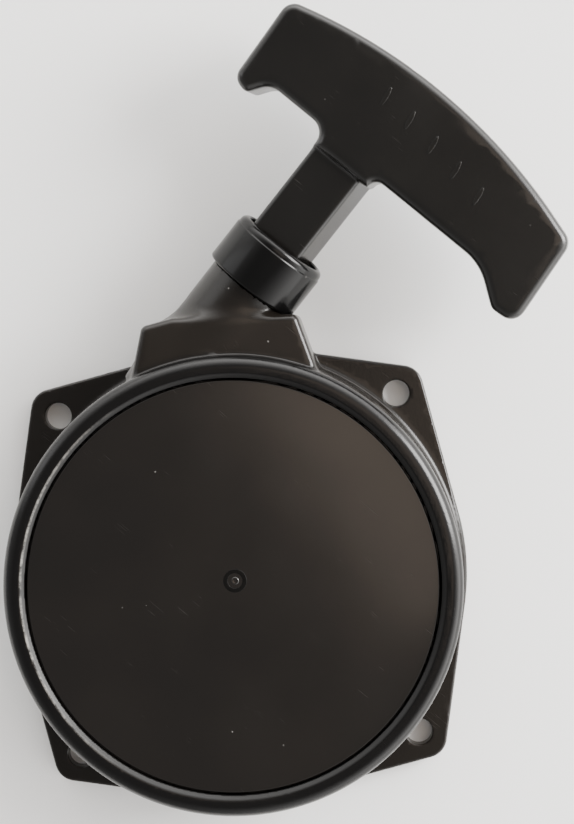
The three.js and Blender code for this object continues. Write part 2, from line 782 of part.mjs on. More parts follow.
add(group, "rope_run", ropeRun(), "rope");
add(handle, "pull_handle", pullHandle(), "blackPlastic");
add(handle, "handle_washer", handleWasher(), "steel");
add(handle, "handle_knot", handleKnot(), "rope");

export default group;
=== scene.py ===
"""Looks of the recoil starter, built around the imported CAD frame.

Moulded and machined pieces are signed distance fields, in millimetres, meshed with OpenVDB and then
drawn onto the exact surface, so that every fillet is real geometry. Turned pieces are lathed.
"""

import json
import math

import bpy
import numpy as np
import openvdb
from mathutils import Matrix, Vector


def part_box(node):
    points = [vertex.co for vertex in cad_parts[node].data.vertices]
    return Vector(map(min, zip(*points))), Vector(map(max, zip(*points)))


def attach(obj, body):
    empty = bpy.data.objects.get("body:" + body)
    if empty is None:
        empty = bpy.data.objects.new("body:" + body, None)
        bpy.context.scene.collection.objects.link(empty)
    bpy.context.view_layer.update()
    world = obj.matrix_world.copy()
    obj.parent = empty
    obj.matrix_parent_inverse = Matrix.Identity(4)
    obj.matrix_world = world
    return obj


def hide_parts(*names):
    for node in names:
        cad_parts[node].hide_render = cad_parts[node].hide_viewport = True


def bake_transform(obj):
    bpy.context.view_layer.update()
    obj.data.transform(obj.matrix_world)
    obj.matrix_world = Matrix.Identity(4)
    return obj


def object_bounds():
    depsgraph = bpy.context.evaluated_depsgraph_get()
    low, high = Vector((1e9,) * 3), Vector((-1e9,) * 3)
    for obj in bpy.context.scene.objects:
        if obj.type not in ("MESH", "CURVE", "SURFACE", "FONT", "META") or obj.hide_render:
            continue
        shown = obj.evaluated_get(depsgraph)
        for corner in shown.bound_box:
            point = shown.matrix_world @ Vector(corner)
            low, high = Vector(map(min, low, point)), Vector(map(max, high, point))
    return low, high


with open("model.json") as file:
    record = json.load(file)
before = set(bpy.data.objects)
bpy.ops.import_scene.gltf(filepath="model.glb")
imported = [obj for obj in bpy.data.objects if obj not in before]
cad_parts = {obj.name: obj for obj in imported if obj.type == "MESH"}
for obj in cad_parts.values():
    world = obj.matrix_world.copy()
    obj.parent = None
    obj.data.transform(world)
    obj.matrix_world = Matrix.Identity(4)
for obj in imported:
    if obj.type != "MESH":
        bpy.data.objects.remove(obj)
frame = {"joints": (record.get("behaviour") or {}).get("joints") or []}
cad_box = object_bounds()

MM = 0.001

# ---------------------------------------------------------------- the frame's own numbers, in mm

JOINTS = {joint["name"]: joint for joint in frame["joints"]}
PULL = np.array(JOINTS["handle_pull"]["axis"], float)
HEADING = np.array([PULL[0], PULL[1], 0]) / math.hypot(PULL[0], PULL[1])
ACROSS = np.array([HEADING[1], -HEADING[0], 0])
OVER = np.cross(ACROSS, PULL)


def box_mm(node):
    low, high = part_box(node)
    return np.array(low) / MM, np.array(high) / MM


def centre_mm(node):
    low, high = box_mm(node)
    return (low + high) / 2


GAP = 0.3
DRUM_H = 30.0
DRUM_R = 55.3
DRUM_WALL = 2.9
ROOF_TOP = 27.3
ROOF_T = 2.3
EYELET = centre_mm("guide_bush")
EYELET_L = 3.6
COLLAR_SEAT = 3.3
MOUTH = EYELET + PULL * (EYELET_L / 2 + COLLAR_SEAT + GAP)
ROPE_Z = 14.1
ROPE_OFFSET = 42.1
ROPE_R = 1.6
ROPE_FOOT = ACROSS * -ROPE_OFFSET + np.array([0, 0, ROPE_Z])

# ---------------------------------------------------------------- distance fields


def size_of(*parts):
    return np.sqrt(sum(part * part for part in parts))


def unite(a, b, fillet=0.0):
    if fillet == 0:
        return np.minimum(a, b)
    share = np.clip(0.5 + 0.5 * (b - a) / fillet, 0, 1)
    return b * (1 - share) + a * share - fillet * share * (1 - share)


def carve(a, b, fillet=0.0):
    return -unite(-a, b, fillet)


def common(*parts):
    result = parts[0]
    for part in parts[1:]:
        result = np.maximum(result, part)
    return result


def capped(flat, height, edge):
    """A body with the flat outline below a top face, where height is the distance above that face."""
    across = flat + edge
    along = height + edge
    outside = size_of(np.maximum(across, 0), np.maximum(along, 0))
    return outside + np.minimum(np.maximum(across, along), 0) - edge


def slab(flat, z, bottom, top, edge):
    """A slab of the flat outline between two heights, with rounded edges."""
    return capped(flat, np.abs(z - (bottom + top) / 2) - (top - bottom) / 2, edge)


def in_frame(x, y, z, origin, axes):
    """The coordinates of a point along each of the axes, from the origin."""
    offset = (x - origin[0], y - origin[1], z - origin[2])
    return [sum(offset[i] * axis[i] for i in range(3)) for axis in axes]


def corner_at(points, i):
    """The directions from a corner to its neighbours, half its angle, the way in, and its turning side."""
    back = points[i - 1] - points[i]
    ahead = points[(i + 1) % len(points)] - points[i]
    back /= np.linalg.norm(back)
    ahead /= np.linalg.norm(ahead)
    half = math.acos(float(back @ ahead)) / 2
    inward = (back + ahead) / np.linalg.norm(back + ahead)
    side = -1 if back[0] * ahead[1] - back[1] * ahead[0] > 0 else 1
    return back, ahead, half, inward, side


class Outline:
    """A closed anticlockwise outline from [x, y, radius] corners, as exact lines and arcs."""

    def __init__(self, corners):
        count = len(corners)
        points = np.array([corner[:2] for corner in corners], float)
        self.arcs = []
        ends = []
        for i, (_, _, radius) in enumerate(corners):
            back, ahead, half, inward, side = corner_at(points, i)
            centre = points[i] + inward * radius / math.sin(half)
            self.arcs.append((centre, radius, -inward, math.cos(math.pi / 2 - half), side))
            reach = radius / math.tan(half)
            ends.append((points[i] + back * reach, points[i] + ahead * reach))
        self.lines = [(ends[i][1], ends[(i + 1) % count][0]) for i in range(count)]

    def __call__(self, x, y):
        x, y = np.broadcast_arrays(np.asarray(x, float), np.asarray(y, float))
        best = np.full(x.shape, np.inf)
        for start, end in self.lines:
            run = end - start
            px, py = x - start[0], y - start[1]
            share = np.clip((px * run[0] + py * run[1]) / float(run @ run), 0, 1)
            gap = size_of(px - share * run[0], py - share * run[1])
            signed = np.where(run[0] * py - run[1] * px > 0, -gap, gap)
            best = np.where(gap < np.abs(best), signed, best)
        for centre, radius, middle, spread, side in self.arcs:
            px, py = x - centre[0], y - centre[1]
            reach = size_of(px, py)
            signed = side * (reach - radius)
            inside = px * middle[0] + py * middle[1] >= reach * spread
            best = np.where(inside & (np.abs(signed) < np.abs(best)), signed, best)
        return best


def inset(corners, distance, least=0.3):
    """The corners of the same outline drawn in by a distance."""
    result = []
    points = np.array([corner[:2] for corner in corners], float)
    for i, (_, _, radius) in enumerate(corners):
        _, _, half, inward, side = corner_at(points, i)
        moved = points[i] + inward * side * distance / math.sin(half)
        result.append((moved[0], moved[1], max(radius - side * distance, least)))
    return result


# ---------------------------------------------------------------- meshes

BAND = 3.0
NUDGE = 0.01
ADAPTIVITY = 0.04
SKIN = 0.02  # each surface is drawn this far in, which keeps the pieces inside the CAD's box


def slope(field, points):
    """The field's unit gradient at each point."""
    columns = []
    for axis in range(3):
        step = np.zeros(3)
        step[axis] = NUDGE
        columns.append(field(*(points + step).T) - field(*(points - step).T))
    gradient = np.stack(columns, axis=1)
    return gradient / np.maximum(np.linalg.norm(gradient, axis=1, keepdims=True), 1e-9)


def new_object(name, points, faces, matrix=None, normals=None):
    points = np.asarray(points, float)
    if matrix is not None:
        turn = np.array(matrix)[:3, :3]
        points = points @ turn.T + np.array(matrix)[:3, 3]
        normals = None if normals is None else normals @ turn.T
    mesh = bpy.data.meshes.new(name)
    mesh.from_pydata((points * MM).tolist(), [], faces)
    mesh.validate()
    mesh.shade_smooth()
    if normals is None:
        mesh.set_sharp_from_angle(angle=math.radians(38))
    else:
        mesh.normals_split_custom_set_from_vertices(normals.tolist())
    obj = bpy.data.objects.new(name, mesh)
    bpy.context.scene.collection.objects.link(obj)
    return obj


def solid(name, field, low, high, step, matrix=None):
    """Meshes the zero surface of a field, then draws each vertex onto it exactly."""
    low = np.array(low, float)
    counts = np.ceil((np.array(high, float) - low) / step).astype(int) + 1
    spans = [low[i] + step * np.arange(counts[i]) for i in range(3)]
    values = field(spans[0][:, None, None], spans[1][None, :, None], spans[2][None, None, :]) + SKIN
    values = np.broadcast_to(values, tuple(counts))
    grid = openvdb.FloatGrid()
    grid.background = BAND
    grid.copyFromArray(np.clip(values, -BAND, BAND).astype(np.float32))
    raw, triangles, quads = grid.convertToPolygons(isovalue=0.0, adaptivity=ADAPTIVITY)
    points = low + step * np.asarray(raw, float)
    for _ in range(3):
        move = np.clip(field(*points.T) + SKIN, -step / 3, step / 3)
        points = points - move[:, None] * slope(field, points)
    normals = slope(field, points)
    faces = [list(face) for face in np.asarray(triangles).tolist() + np.asarray(quads).tolist()]
    first = np.array([face[:3] for face in faces])
    flat = np.cross(points[first[:, 1]] - points[first[:, 0]], points[first[:, 2]] - points[first[:, 0]])
    if np.sum(flat * normals[first[:, 0]]) < 0:
        faces = [face[::-1] for face in faces]
    return new_object(name, points, faces, matrix, normals)


def rounded(corners, steps=5):
    """The points along an outline of [x, y, radius] corners, with arcs in steps."""
    points = []
    plain = np.array([corner[:2] for corner in corners], float)
    for i, (_, _, radius) in enumerate(corners):
        if radius == 0:
            points.append(plain[i])
            continue
        _, _, half, inward, side = corner_at(plain, i)
        centre = plain[i] + inward * radius / math.sin(half)
        middle = math.atan2(-inward[1], -inward[0])
        for step in range(steps + 1):
            angle = middle + side * (math.pi / 2 - half) * (2 * step / steps - 1)
            points.append(centre + radius * np.array([math.cos(angle), math.sin(angle)]))
    return points


def turned(name, corners, sides=160, matrix=None, on_axis=False):
    """A body of revolution about Z from [radius, z, fillet] corners, anticlockwise with radius to the right.
    With on_axis the first and last corners lie on the axis."""
    profile = rounded(corners)
    points = []
    faces = []
    rings = len(profile)
    for ring in profile:
        for i in range(sides):
            angle = 2 * math.pi * i / sides
            points.append((ring[0] * math.cos(angle), ring[0] * math.sin(angle), ring[1]))
    for ring in range(rings - 1 if on_axis else rings):
        here, above = ring * sides, (ring + 1) % rings * sides
        for i in range(sides):
            after = (i + 1) % sides
            faces.append((here + i, here + after, above + after, above + i))
    if on_axis:
        faces.append(tuple(range(sides))[::-1])
        faces.append(tuple(range((rings - 1) * sides, rings * sides)))
    return new_object(name, points, faces, matrix)


def smooth_path(points, samples):
    """A Catmull-Rom curve through the points, evenly sampled by parameter."""
    points = np.asarray(points, float)
    padded = np.vstack([2 * points[0] - points[1], points, 2 * points[-1] - points[-2]])
    result = []
    for t in np.linspace(0, len(points) - 1, samples):
        i = min(int(t), len(points) - 2)
        s = t - i
        a, b, c, d = padded[i : i + 4]
        bend = (2 * a - 5 * b + 4 * c - d) * s**2
        twist = (3 * b - a - 3 * c + d) * s**3
        result.append(0.5 * (2 * b + (c - a) * s + bend + twist))
    return np.array(result)


BRAID_MAP = "around_and_along"


def tube(name, path, radius, sides=12, closed=False, matrix=None):
    """A round rod along a path, with domed ends if it is open."""
    path = np.asarray(path, float)
    count = len(path)
    ahead = np.roll(path, -1, 0) - np.roll(path, 1, 0)
    if not closed:
        ahead[0] = path[1] - path[0]
        ahead[-1] = path[-1] - path[-2]
    ahead /= np.linalg.norm(ahead, axis=1, keepdims=True)
    side = np.cross(ahead[0], [0.31, 0.17, 0.93])
    sides_at = []
    for direction in ahead:
        side = side - direction * (side @ direction)
        side /= np.linalg.norm(side)
        sides_at.append(side)
    points = []
    for at, direction, side in zip(path, ahead, sides_at):
        other = np.cross(direction, side)
        for k in range(sides):
            angle = 2 * math.pi * k / sides
            points.append(at + radius * (side * math.cos(angle) + other * math.sin(angle)))
    faces = []
    places = []
    travelled = np.concatenate([[0], np.cumsum(np.linalg.norm(np.diff(path, axis=0), axis=1))])
    for i in range(count if closed else count - 1):
        here, above = i * sides, (i + 1) % count * sides
        start, end = travelled[i], travelled[i + 1] if i + 1 < count else travelled[i] + travelled[1]
        for k in range(sides):
            after = (k + 1) % sides
            faces.append((here + k, here + after, above + after, above + k))
            places += [(k / sides, start), ((k + 1) / sides, start), ((k + 1) / sides, end), (k / sides, end)]
    if not closed:
        for first in (0, (count - 1) * sides):
            faces.append(tuple(range(first, first + sides))[:: -1 if first == 0 else 1])
            places += [(0, 0)] * sides
    obj = new_object(name, points, faces, matrix)
    layer = obj.data.uv_layers.new(name=BRAID_MAP)
    layer.data.foreach_set("uv", np.array(places, float).ravel())
    return obj


def frame_matrix(origin, x_axis, y_axis, z_axis):
    matrix = Matrix.Identity(4)
    for row in range(3):
        matrix[row][0], matrix[row][1], matrix[row][2] = x_axis[row], y_axis[row], z_axis[row]
        matrix[row][3] = origin[row]
    return matrix


ALONG_PULL = frame_matrix(MOUTH, ACROSS, np.cross(PULL, ACROSS), PULL)

# ---------------------------------------------------------------- materials


class Nodes:
    """A material's node tree, with short calls for the nodes used here. Coordinates are in millimetres."""

    def __init__(self, name):
        self.material = bpy.data.materials.new(name)
        self.material.use_nodes = True
        self.tree = self.material.node_tree
        self.shader = self.tree.nodes["Principled BSDF"]
        coordinates = self.new("ShaderNodeTexCoord").outputs["Object"]
        self.place = self.scaled(coordinates, (1 / MM, 1 / MM, 1 / MM))

    def new(self, kind, **settings):
        node = self.tree.nodes.new(kind)
        for key, value in settings.items():
            setattr(node, key, value)
        return node

    def put(self, socket, value):
        if isinstance(value, bpy.types.NodeSocket):
            self.tree.links.new(value, socket)
        else:
            socket.default_value = value

    def made(self, kind, output, inputs, **settings):
        """A new node's output, once its inputs are linked or set."""
        node = self.new(kind, **settings)
        for key, value in inputs.items():
            self.put(node.inputs[key], value)
        return node.outputs[output]

    def mapped(self, vector, **settings):
        return self.made("ShaderNodeMapping", "Vector", {"Vector": vector, **settings})

    def scaled(self, vector, factors, turn=None):
        """The coordinates turned first, and then scaled along the turned axes."""
        if turn is not None:
            vector = self.mapped(vector, Rotation=turn)
        return self.mapped(vector, Scale=factors)

    def noise(self, scale, detail=3.0, rough=0.5, vector=None):
        vector = self.place if vector is None else vector
        inputs = {"Vector": vector, "Scale": scale, "Detail": detail, "Roughness": rough}
        return self.made("ShaderNodeTexNoise", "Fac", inputs)

    def spots(self, scale):
        return self.made("ShaderNodeTexVoronoi", "Distance", {"Vector": self.place, "Scale": scale})

    def ranged(self, value, low, high, to_low=0.0, to_high=1.0):
        inputs = {"Value": value, "From Min": low, "From Max": high, "To Min": to_low, "To Max": to_high}
        return self.made("ShaderNodeMapRange", "Result", inputs)

    def math(self, operation, a, b=0.0):
        return self.made("ShaderNodeMath", 0, {0: a, 1: b}, operation=operation)

    def mix(self, share, a, b):
        node = self.new("ShaderNodeMix", data_type="RGBA")
        self.put(node.inputs["Factor"], share)
        for socket, colour in ((node.inputs["A"], a), (node.inputs["B"], b)):
            self.put(socket, colour if isinstance(colour, bpy.types.NodeSocket) else (*colour, 1))
        return node.outputs["Result"]

    def bump(self, height, distance, strength=1.0, under=None):
        inputs = {"Height": height, "Distance": distance * MM, "Strength": strength}
        if under is not None:
            inputs["Normal"] = under
        return self.made("ShaderNodeBump", "Normal", inputs)

    def dot(self, vector, axis):
        inputs = {0: vector, 1: tuple(axis)}
        return self.made("ShaderNodeVectorMath", "Value", inputs, operation="DOT_PRODUCT")

    def parts_of_place(self):
        node = self.new("ShaderNodeSeparateXYZ")
        self.put(node.inputs[0], self.place)
        return node.outputs

    def scratches(self, turn):
        """Thin straight marks along one direction: 1 on a mark, 0 beside it."""
        lanes = self.scaled(self.place, (0.09, 3.6, 3.6), turn)
        streak = self.ranged(self.noise(1.0, 1.0, 0.4, lanes), 0.7, 0.74)
        patches = self.ranged(self.noise(0.11, 2.0), 0.58, 0.66)
        return self.math("MULTIPLY", streak, patches)

    def set(self, **values):
        for key, value in values.items():
            socket = self.shader.inputs[key.replace("_", " ")]
            if isinstance(value, tuple):
                value = (*value, 1)
            self.put(socket, value)


def black_plastic(name, dark, light, gloss, dust=0.35, grain=0.02, shine=0.5):
    """Black ABS: cloudy tone, patchy gloss, moulded grain, fine scratches and a few dust specks."""
    smooth, dull = gloss
    n = Nodes(name)
    cloud = n.ranged(n.noise(0.03, 2.0, 0.5), 0.35, 0.68)
    colour = n.mix(cloud, dark, light)
    marks = n.scratches((0.0, 0.02, 0.7))
    specks = n.ranged(n.spots(0.16), 0.045, 0.02)
    specks = n.math("MULTIPLY", specks, n.ranged(n.noise(0.05, 1.0), 0.5, 0.62, 0, dust))
    colour = n.mix(n.math("MULTIPLY", marks, 0.03), colour, (0.2, 0.19, 0.18))
    colour = n.mix(specks, colour, (0.42, 0.41, 0.39))
    n.set(Base_Color=colour)
    patchy = n.ranged(n.noise(0.05, 3.0, 0.5), 0.3, 0.7, smooth, dull)
    n.set(Roughness=n.math("ADD", patchy, n.math("MULTIPLY", marks, 0.15)))
    fine = n.bump(n.noise(2.2, 2.0), grain)
    n.set(Normal=n.bump(n.math("SUBTRACT", 0.0, marks), 0.004, 0.5, fine))
    n.shader.inputs["Specular IOR Level"].default_value = shine
    return n


def housing_plastic():
    """The housing's black, its rim darkened as painted shade, and its inner chamfer's left edge pale: scuffs
    and a painted highlight.
    """
    dark, light = (0.0062, 0.005, 0.0041), (0.0084, 0.0069, 0.0056)
    n = black_plastic("housing_plastic", dark, light, (0.19, 0.26), shine=0.3)
    x, y, z = n.parts_of_place()
    radius = n.math("SQRT", n.math("ADD", n.math("MULTIPLY", x, x), n.math("MULTIPLY", y, y)))
    on_edge = n.math("MULTIPLY", n.ranged(radius, 50.45, 50.75), n.ranged(radius, 51.2, 50.95))
    on_chamfer = n.math("MULTIPLY", n.ranged(radius, 49.5, 49.9), n.ranged(radius, 51.2, 50.9))
    on_top = n.ranged(z, 28.4, 28.7)
    angle = n.math("ARCTAN2", y, x)
    off_left = n.math("ABSOLUTE", n.math("SUBTRACT", n.math("ABSOLUTE", angle), math.pi))
    left = n.ranged(off_left, 1.0, 0.4, 0.0, 1.0)
    breaks = n.ranged(n.noise(0.28, 6.0, 0.85), 0.42, 0.6)
    # Pale broken line on the inner chamfer's edge, left side only: partly scuffing, partly a painted
    # highlight where the edge faces the light.
    glint_and_scuff = n.math("MULTIPLY", n.math("MULTIPLY", on_edge, on_top), n.math("MULTIPLY", left, breaks))
    old = n.shader.inputs["Base Color"].links[0].from_socket
    # Painted shade: the rim's top and upper outer wall are painted darker than the rest of the moulding.
    on_rim = n.math("MULTIPLY", n.ranged(radius, 57.0, 55.8), n.ranged(z, 24.0, 27.5))
    rim_painted_shade = n.mix(on_rim, old, (0.0022, 0.002, 0.002))
    n.set(Base_Color=n.mix(n.math("MULTIPLY", glint_and_scuff, 0.6), rim_painted_shade, (0.3, 0.29, 0.27)))
    old = n.shader.inputs["Roughness"].links[0].from_socket
    matt = n.math("MULTIPLY", n.math("MULTIPLY", on_chamfer, on_top), 0.2)
    n.set(Roughness=n.math("ADD", n.math("ADD", old, n.math("MULTIPLY", glint_and_scuff, 0.2)), matt))
    return n.material


def disc_plastic():
    dark, light = (0.0045, 0.0036, 0.003), (0.0062, 0.0049, 0.004)
    return black_plastic("disc_plastic", dark, light, (0.17, 0.22), 0.7, 0.006).material


def collar_plastic():
    dark, light = (0.0022, 0.0021, 0.0021), (0.003, 0.003, 0.003)
    return black_plastic("collar_plastic", dark, light, (0.12, 0.2), 0.5, 0.006, 0.2).material


def handle_plastic():
    dark, light = (0.0036, 0.0032, 0.0028), (0.005, 0.0045, 0.004)
    return black_plastic("handle_plastic", dark, light, (0.2, 0.27), 0.15, 0.012, 0.45).material


def metal(name, light, dark, smooth, dull, brushed=0.0, turn=(0, 0, 0.6)):
    """Bare or plated steel: mottled tone, patchy gloss, brushing and small dents."""
    n = Nodes(name)
    mottle = n.ranged(n.noise(0.35, 4.0, 0.6), 0.35, 0.65)
    colour = n.mix(mottle, light, dark)
    grime = n.ranged(n.noise(0.12, 3.0, 0.6), 0.55, 0.75, 0, 0.5)
    n.set(Base_Color=n.mix(grime, colour, tuple(0.35 * part for part in dark)))
    n.set(Metallic=1.0)
    lanes = n.noise(1.0, 2.0, 0.5, n.scaled(n.place, (0.2, 7.0, 7.0), turn))
    gloss = n.ranged(n.noise(0.5, 3.0), 0.3, 0.7, smooth, dull)
    n.set(Roughness=n.math("ADD", gloss, n.math("MULTIPLY", grime, 0.25)))
    fine = n.bump(n.noise(3.0, 3.0), 0.012)
    n.set(Normal=n.bump(lanes, 0.012 * brushed, 1.0, fine) if brushed else fine)
    return n.material


def nylon():
    """Dark moulded nylon: satin, faintly mottled, with fine grain and grey wear dust in patches."""
    n = Nodes("reel_nylon")
    colour = n.mix(n.ranged(n.noise(0.08, 3.0), 0.35, 0.65), (0.035, 0.035, 0.034), (0.055, 0.054, 0.05))
    worn = n.ranged(n.noise(0.25, 5.0, 0.7), 0.58, 0.75, 0, 0.35)
    n.set(Base_Color=n.mix(worn, colour, (0.16, 0.155, 0.145)))
    n.set(Roughness=n.ranged(n.noise(0.4, 3.0), 0.3, 0.7, 0.42, 0.58))
    n.set(Normal=n.bump(n.noise(1.6, 3.0), 0.04))
    return n.material


def braided_rope(name, axis=None):
    """Braided nylon: two crossing families of strands, with painted shade darkening the grooves between them,
    worn grey in places.
    With an axis, they are wound round that straight line, and otherwise they follow the tube's own map."""
    n = Nodes(name)
    if axis is None:
        map_node = n.new("ShaderNodeUVMap", uv_map=BRAID_MAP)
        split = n.new("ShaderNodeSeparateXYZ")
        n.put(split.inputs[0], map_node.outputs["UV"])
        turn = n.math("MULTIPLY", split.outputs["X"], 2 * math.pi)
        reach = split.outputs["Y"]
    else:
        origin, along, across = axis
        offset = n.mapped(n.place, Location=tuple(-np.array(origin)))
        reach = n.dot(offset, along)
        turn = n.math("ARCTAN2", n.dot(offset, np.cross(across, along)), n.dot(offset, across))
    travel = n.math("MULTIPLY", reach, 2.1)
    winding = n.math("MULTIPLY", turn, 4.0)
    left = n.math("SINE", n.math("ADD", travel, winding))
    right = n.math("SINE", n.math("SUBTRACT", travel, winding))
    strands = n.math("MAXIMUM", left, right)
    fibres = n.noise(4.0, 3.0, 0.6)
    # Painted shade: the grooves between the strands are darker and the strand crests lighter; the fibres vary
    # the tone at random.
    groove_shade_and_fibres = n.math("ADD", n.ranged(strands, -0.2, 1.0, 0.0, 0.75), n.ranged(fibres, 0.3, 0.7, 0.0, 0.25))
    colour = n.mix(groove_shade_and_fibres, (0.22, 0.205, 0.175), (0.66, 0.64, 0.57))
    dirt = n.ranged(n.noise(0.1, 3.0), 0.55, 0.75, 0, 0.45)
    n.set(Base_Color=n.mix(dirt, colour, (0.12, 0.115, 0.11)))
    n.set(Roughness=n.ranged(fibres, 0.3, 0.7, 0.75, 0.92))
    n.shader.inputs["Sheen Weight"].default_value = 0.3
    n.set(Normal=n.bump(n.math("ADD", strands, n.math("MULTIPLY", fibres, 0.3)), 0.22))
    return n.material


def floor_material():
    n = Nodes("floor")
    n.set(Base_Color=n.mix(n.noise(0.01, 3.0), (0.9, 0.9, 0.895), (0.93, 0.93, 0.925)))
    n.set(Roughness=n.ranged(n.noise(0.05, 3.0), 0.3, 0.7, 0.75, 0.85))
    return n.material


def gate_plastic():
    dark, light = (0.0012, 0.0011, 0.001), (0.0022, 0.002, 0.0018)
    return black_plastic("gate_plastic", dark, light, (0.4, 0.5), 0.2, 0.05, 0.12).material


FINISHES = {
    "housing_plastic": housing_plastic(),
    "disc_plastic": disc_plastic(),
    "collar_plastic": collar_plastic(),
    "handle_plastic": handle_plastic(),
    "gate_plastic": gate_plastic(),
    "reel_nylon": nylon(),
    "zinc_steel": metal("zinc_steel", (0.62, 0.62, 0.6), (0.45, 0.46, 0.47), 0.24, 0.4),
    "hard_steel": metal("hard_steel", (0.36, 0.36, 0.37), (0.2, 0.2, 0.21), 0.34, 0.52, 0.6),
    "polished_steel": metal("polished_steel", (0.68, 0.68, 0.69), (0.52, 0.52, 0.54), 0.1, 0.24),
    "spring_steel": metal("spring_steel", (0.16, 0.19, 0.26), (0.1, 0.11, 0.14), 0.22, 0.4, 0.5),
    "bronze": metal("bronze", (0.62, 0.42, 0.18), (0.4, 0.26, 0.11), 0.3, 0.5),
    "rope": braided_rope("rope", (MOUTH, PULL, ACROSS)),
    "rope_wound": braided_rope("rope_wound"),
}


def finish(obj, look, body, *nodes):
    """Gives a piece its material and slot, and rides it on its body in place of its CAD nodes."""
    obj.data.materials.append(FINISHES[look])
    if body is not None:
        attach(obj, body)
    if nodes:
        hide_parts(*nodes)
    return obj


# ---------------------------------------------------------------- housing

FLANGE_T = 4.0
FLANGE_EDGE = 0.8
FLANGE_FILLET = 2.2
FLANGE_R = 57.5
EAR_TURN = 48.9
EAR_HOLE_CIRCLE_R = 60.3
EAR_HOLE_R = 3.3
EAR_EDGE = 7.2
EAR_CORNER_R = 5.3
NECK_TOP = 26.0
NECK_CORNERS = [(24.5, 40, 2), (15.2, 65.3, 2), (-15, 64.2, 2), (-22.4, 62.2, 2), (-26.8, 40, 2)]
NECK_WALL = 2.6
NECK_EDGE = 1.8
NECK_FILLET = 0.9
TUBE_R = 10.7
TUBE_FILLET = 3.0
TUBE_BORE_R = 4.5
SPIGOT_R = 8.5
SPIGOT_L = 5.3
COLLAR_R = 12.4
COLLAR_L = 13.2
RIM_INNER_R = 50.9
RIM_CHAMFER = 1.0
RIM_FILLET = 3.0
POST_R = 7.0
POST_END = 7.6
POST_BORE_R = 3.6
POST_BORE_END = 18.6
WALL_RIBS = 12
WALL_RIB_W = 1.6
WALL_RIB_DEPTH = 1.8
DRAFT = 0.006
GATE_R = 2.3
GATE_AT = (0.5, 1.4)


def ear_places():
    return [
        EAR_HOLE_CIRCLE_R * np.array([math.cos(angle), math.sin(angle)])
        for angle in (math.radians(EAR_TURN + 90 * i) for i in range(4))
    ]


def flange_flat(x, y):
    """A circle joined to four ears, whose straight edges are tangent to it."""
    half = math.acos((FLANGE_R - EAR_EDGE) / EAR_HOLE_CIRCLE_R)
    flat = size_of(x, y) - FLANGE_R
    for place in ear_places():
        out = place / np.linalg.norm(place)
        along = x * out[0] + y * out[1]
        beside = np.abs(-x * out[1] + y * out[0])
        edge = along * math.cos(half) + beside * math.sin(half) - FLANGE_R
        centre = (FLANGE_R - EAR_CORNER_R) / math.cos(half)
        tip = size_of(along - centre, beside) - EAR_CORNER_R
        past_tip = beside < (along - centre) * math.tan(half)
        ear = np.where(past_tip, tip, edge)
        tangent = FLANGE_R * math.cos(half)
        flat = np.where(along > tangent, np.minimum(flat, ear), flat)
    return flat


def housing_field(x, y, z):
    radius = size_of(x, y)
    u, w, v = in_frame(x, y, z, MOUTH, (ACROSS, OVER, PULL))
    round_pull = size_of(u, w)
    wall = radius - DRUM_R - DRAFT * (DRUM_H - z)
    flange = capped(flange_flat(x, y), z - FLANGE_T, FLANGE_EDGE)
    body = unite(capped(wall, z - DRUM_H, RIM_FILLET), flange, FLANGE_FILLET)
    tube_round = round_pull - TUBE_R
    tube = common(tube_round, v + COLLAR_L + GAP, -v - 50)
    neck = capped(Outline(NECK_CORNERS)(x, y), z - NECK_TOP, NECK_EDGE)
    neck = carve(neck, common(round_pull - COLLAR_R - GAP, -v - COLLAR_L - GAP), 0.8)
    body = unite(body, unite(neck, tube, TUBE_FILLET), NECK_FILLET)
    body = unite(body, common(round_pull - SPIGOT_R, v + COLLAR_L + GAP - SPIGOT_L, -v - 20))
    core = common(Outline(inset(NECK_CORNERS, NECK_WALL))(x, y), z - NECK_TOP + NECK_WALL, DRUM_R - radius)
    body = carve(body, carve(core, tube_round, 1.0), 0.5)
    body = carve(body, common(radius - DRUM_R + DRUM_WALL, z - ROOF_TOP + ROOF_T), 0.5)
    recess = RIM_INNER_R - RIM_CHAMFER
    chamfer = (radius - recess - (z - DRUM_H + RIM_CHAMFER)) / math.sqrt(2)
    body = carve(body, common(ROOF_TOP - z, unite(radius - recess, chamfer)), 0.35)
    body = unite(body, common(radius - POST_R, POST_END - z, z - ROOF_TOP + 1), 1.0)
    body = unite(body, wall_ribs(x, y, z, radius), 0.7)
    body = carve(body, common(radius - POST_BORE_R, z - POST_BORE_END), 0.3)
    for bore in rope_bores(x, y, z, round_pull, v):
        body = carve(body, bore, 0.4)
    for place in ear_places():
        body = carve(body, size_of(x - place[0], y - place[1]) - EAR_HOLE_R, 0.35)
    return carve(body, z, 0.4)


def wall_ribs(x, y, z, radius):
    """Upright ribs inside the drum's wall."""
    angle = np.arctan2(y, x)
    pitch = 2 * math.pi / WALL_RIBS
    from_rib = angle - (np.floor(angle / pitch) + 0.5) * pitch
    beside = np.abs(radius * np.sin(from_rib)) - WALL_RIB_W / 2
    inner = DRUM_R - DRUM_WALL - WALL_RIB_DEPTH
    return common(beside, inner - radius, radius - DRUM_R + 1, 6 - z, z - ROOF_TOP + 1)


def rope_bores(x, y, z, round_pull, v):
    across, over, ahead = in_frame(x, y, z, ROPE_FOOT, (ACROSS, (0, 0, 1), HEADING))
    climbing = common(round_pull - TUBE_BORE_R, -v - 31, v - 1)
    level = common(size_of(across, over) - TUBE_BORE_R, -ahead, ahead - 43)
    return climbing, level


def housing():
    low, high = box_mm("housing")
    shell = solid("housing_shell", housing_field, low - 1.2, high + 1.2, 0.34)
    finish(shell, "housing_plastic", "housing", "housing")


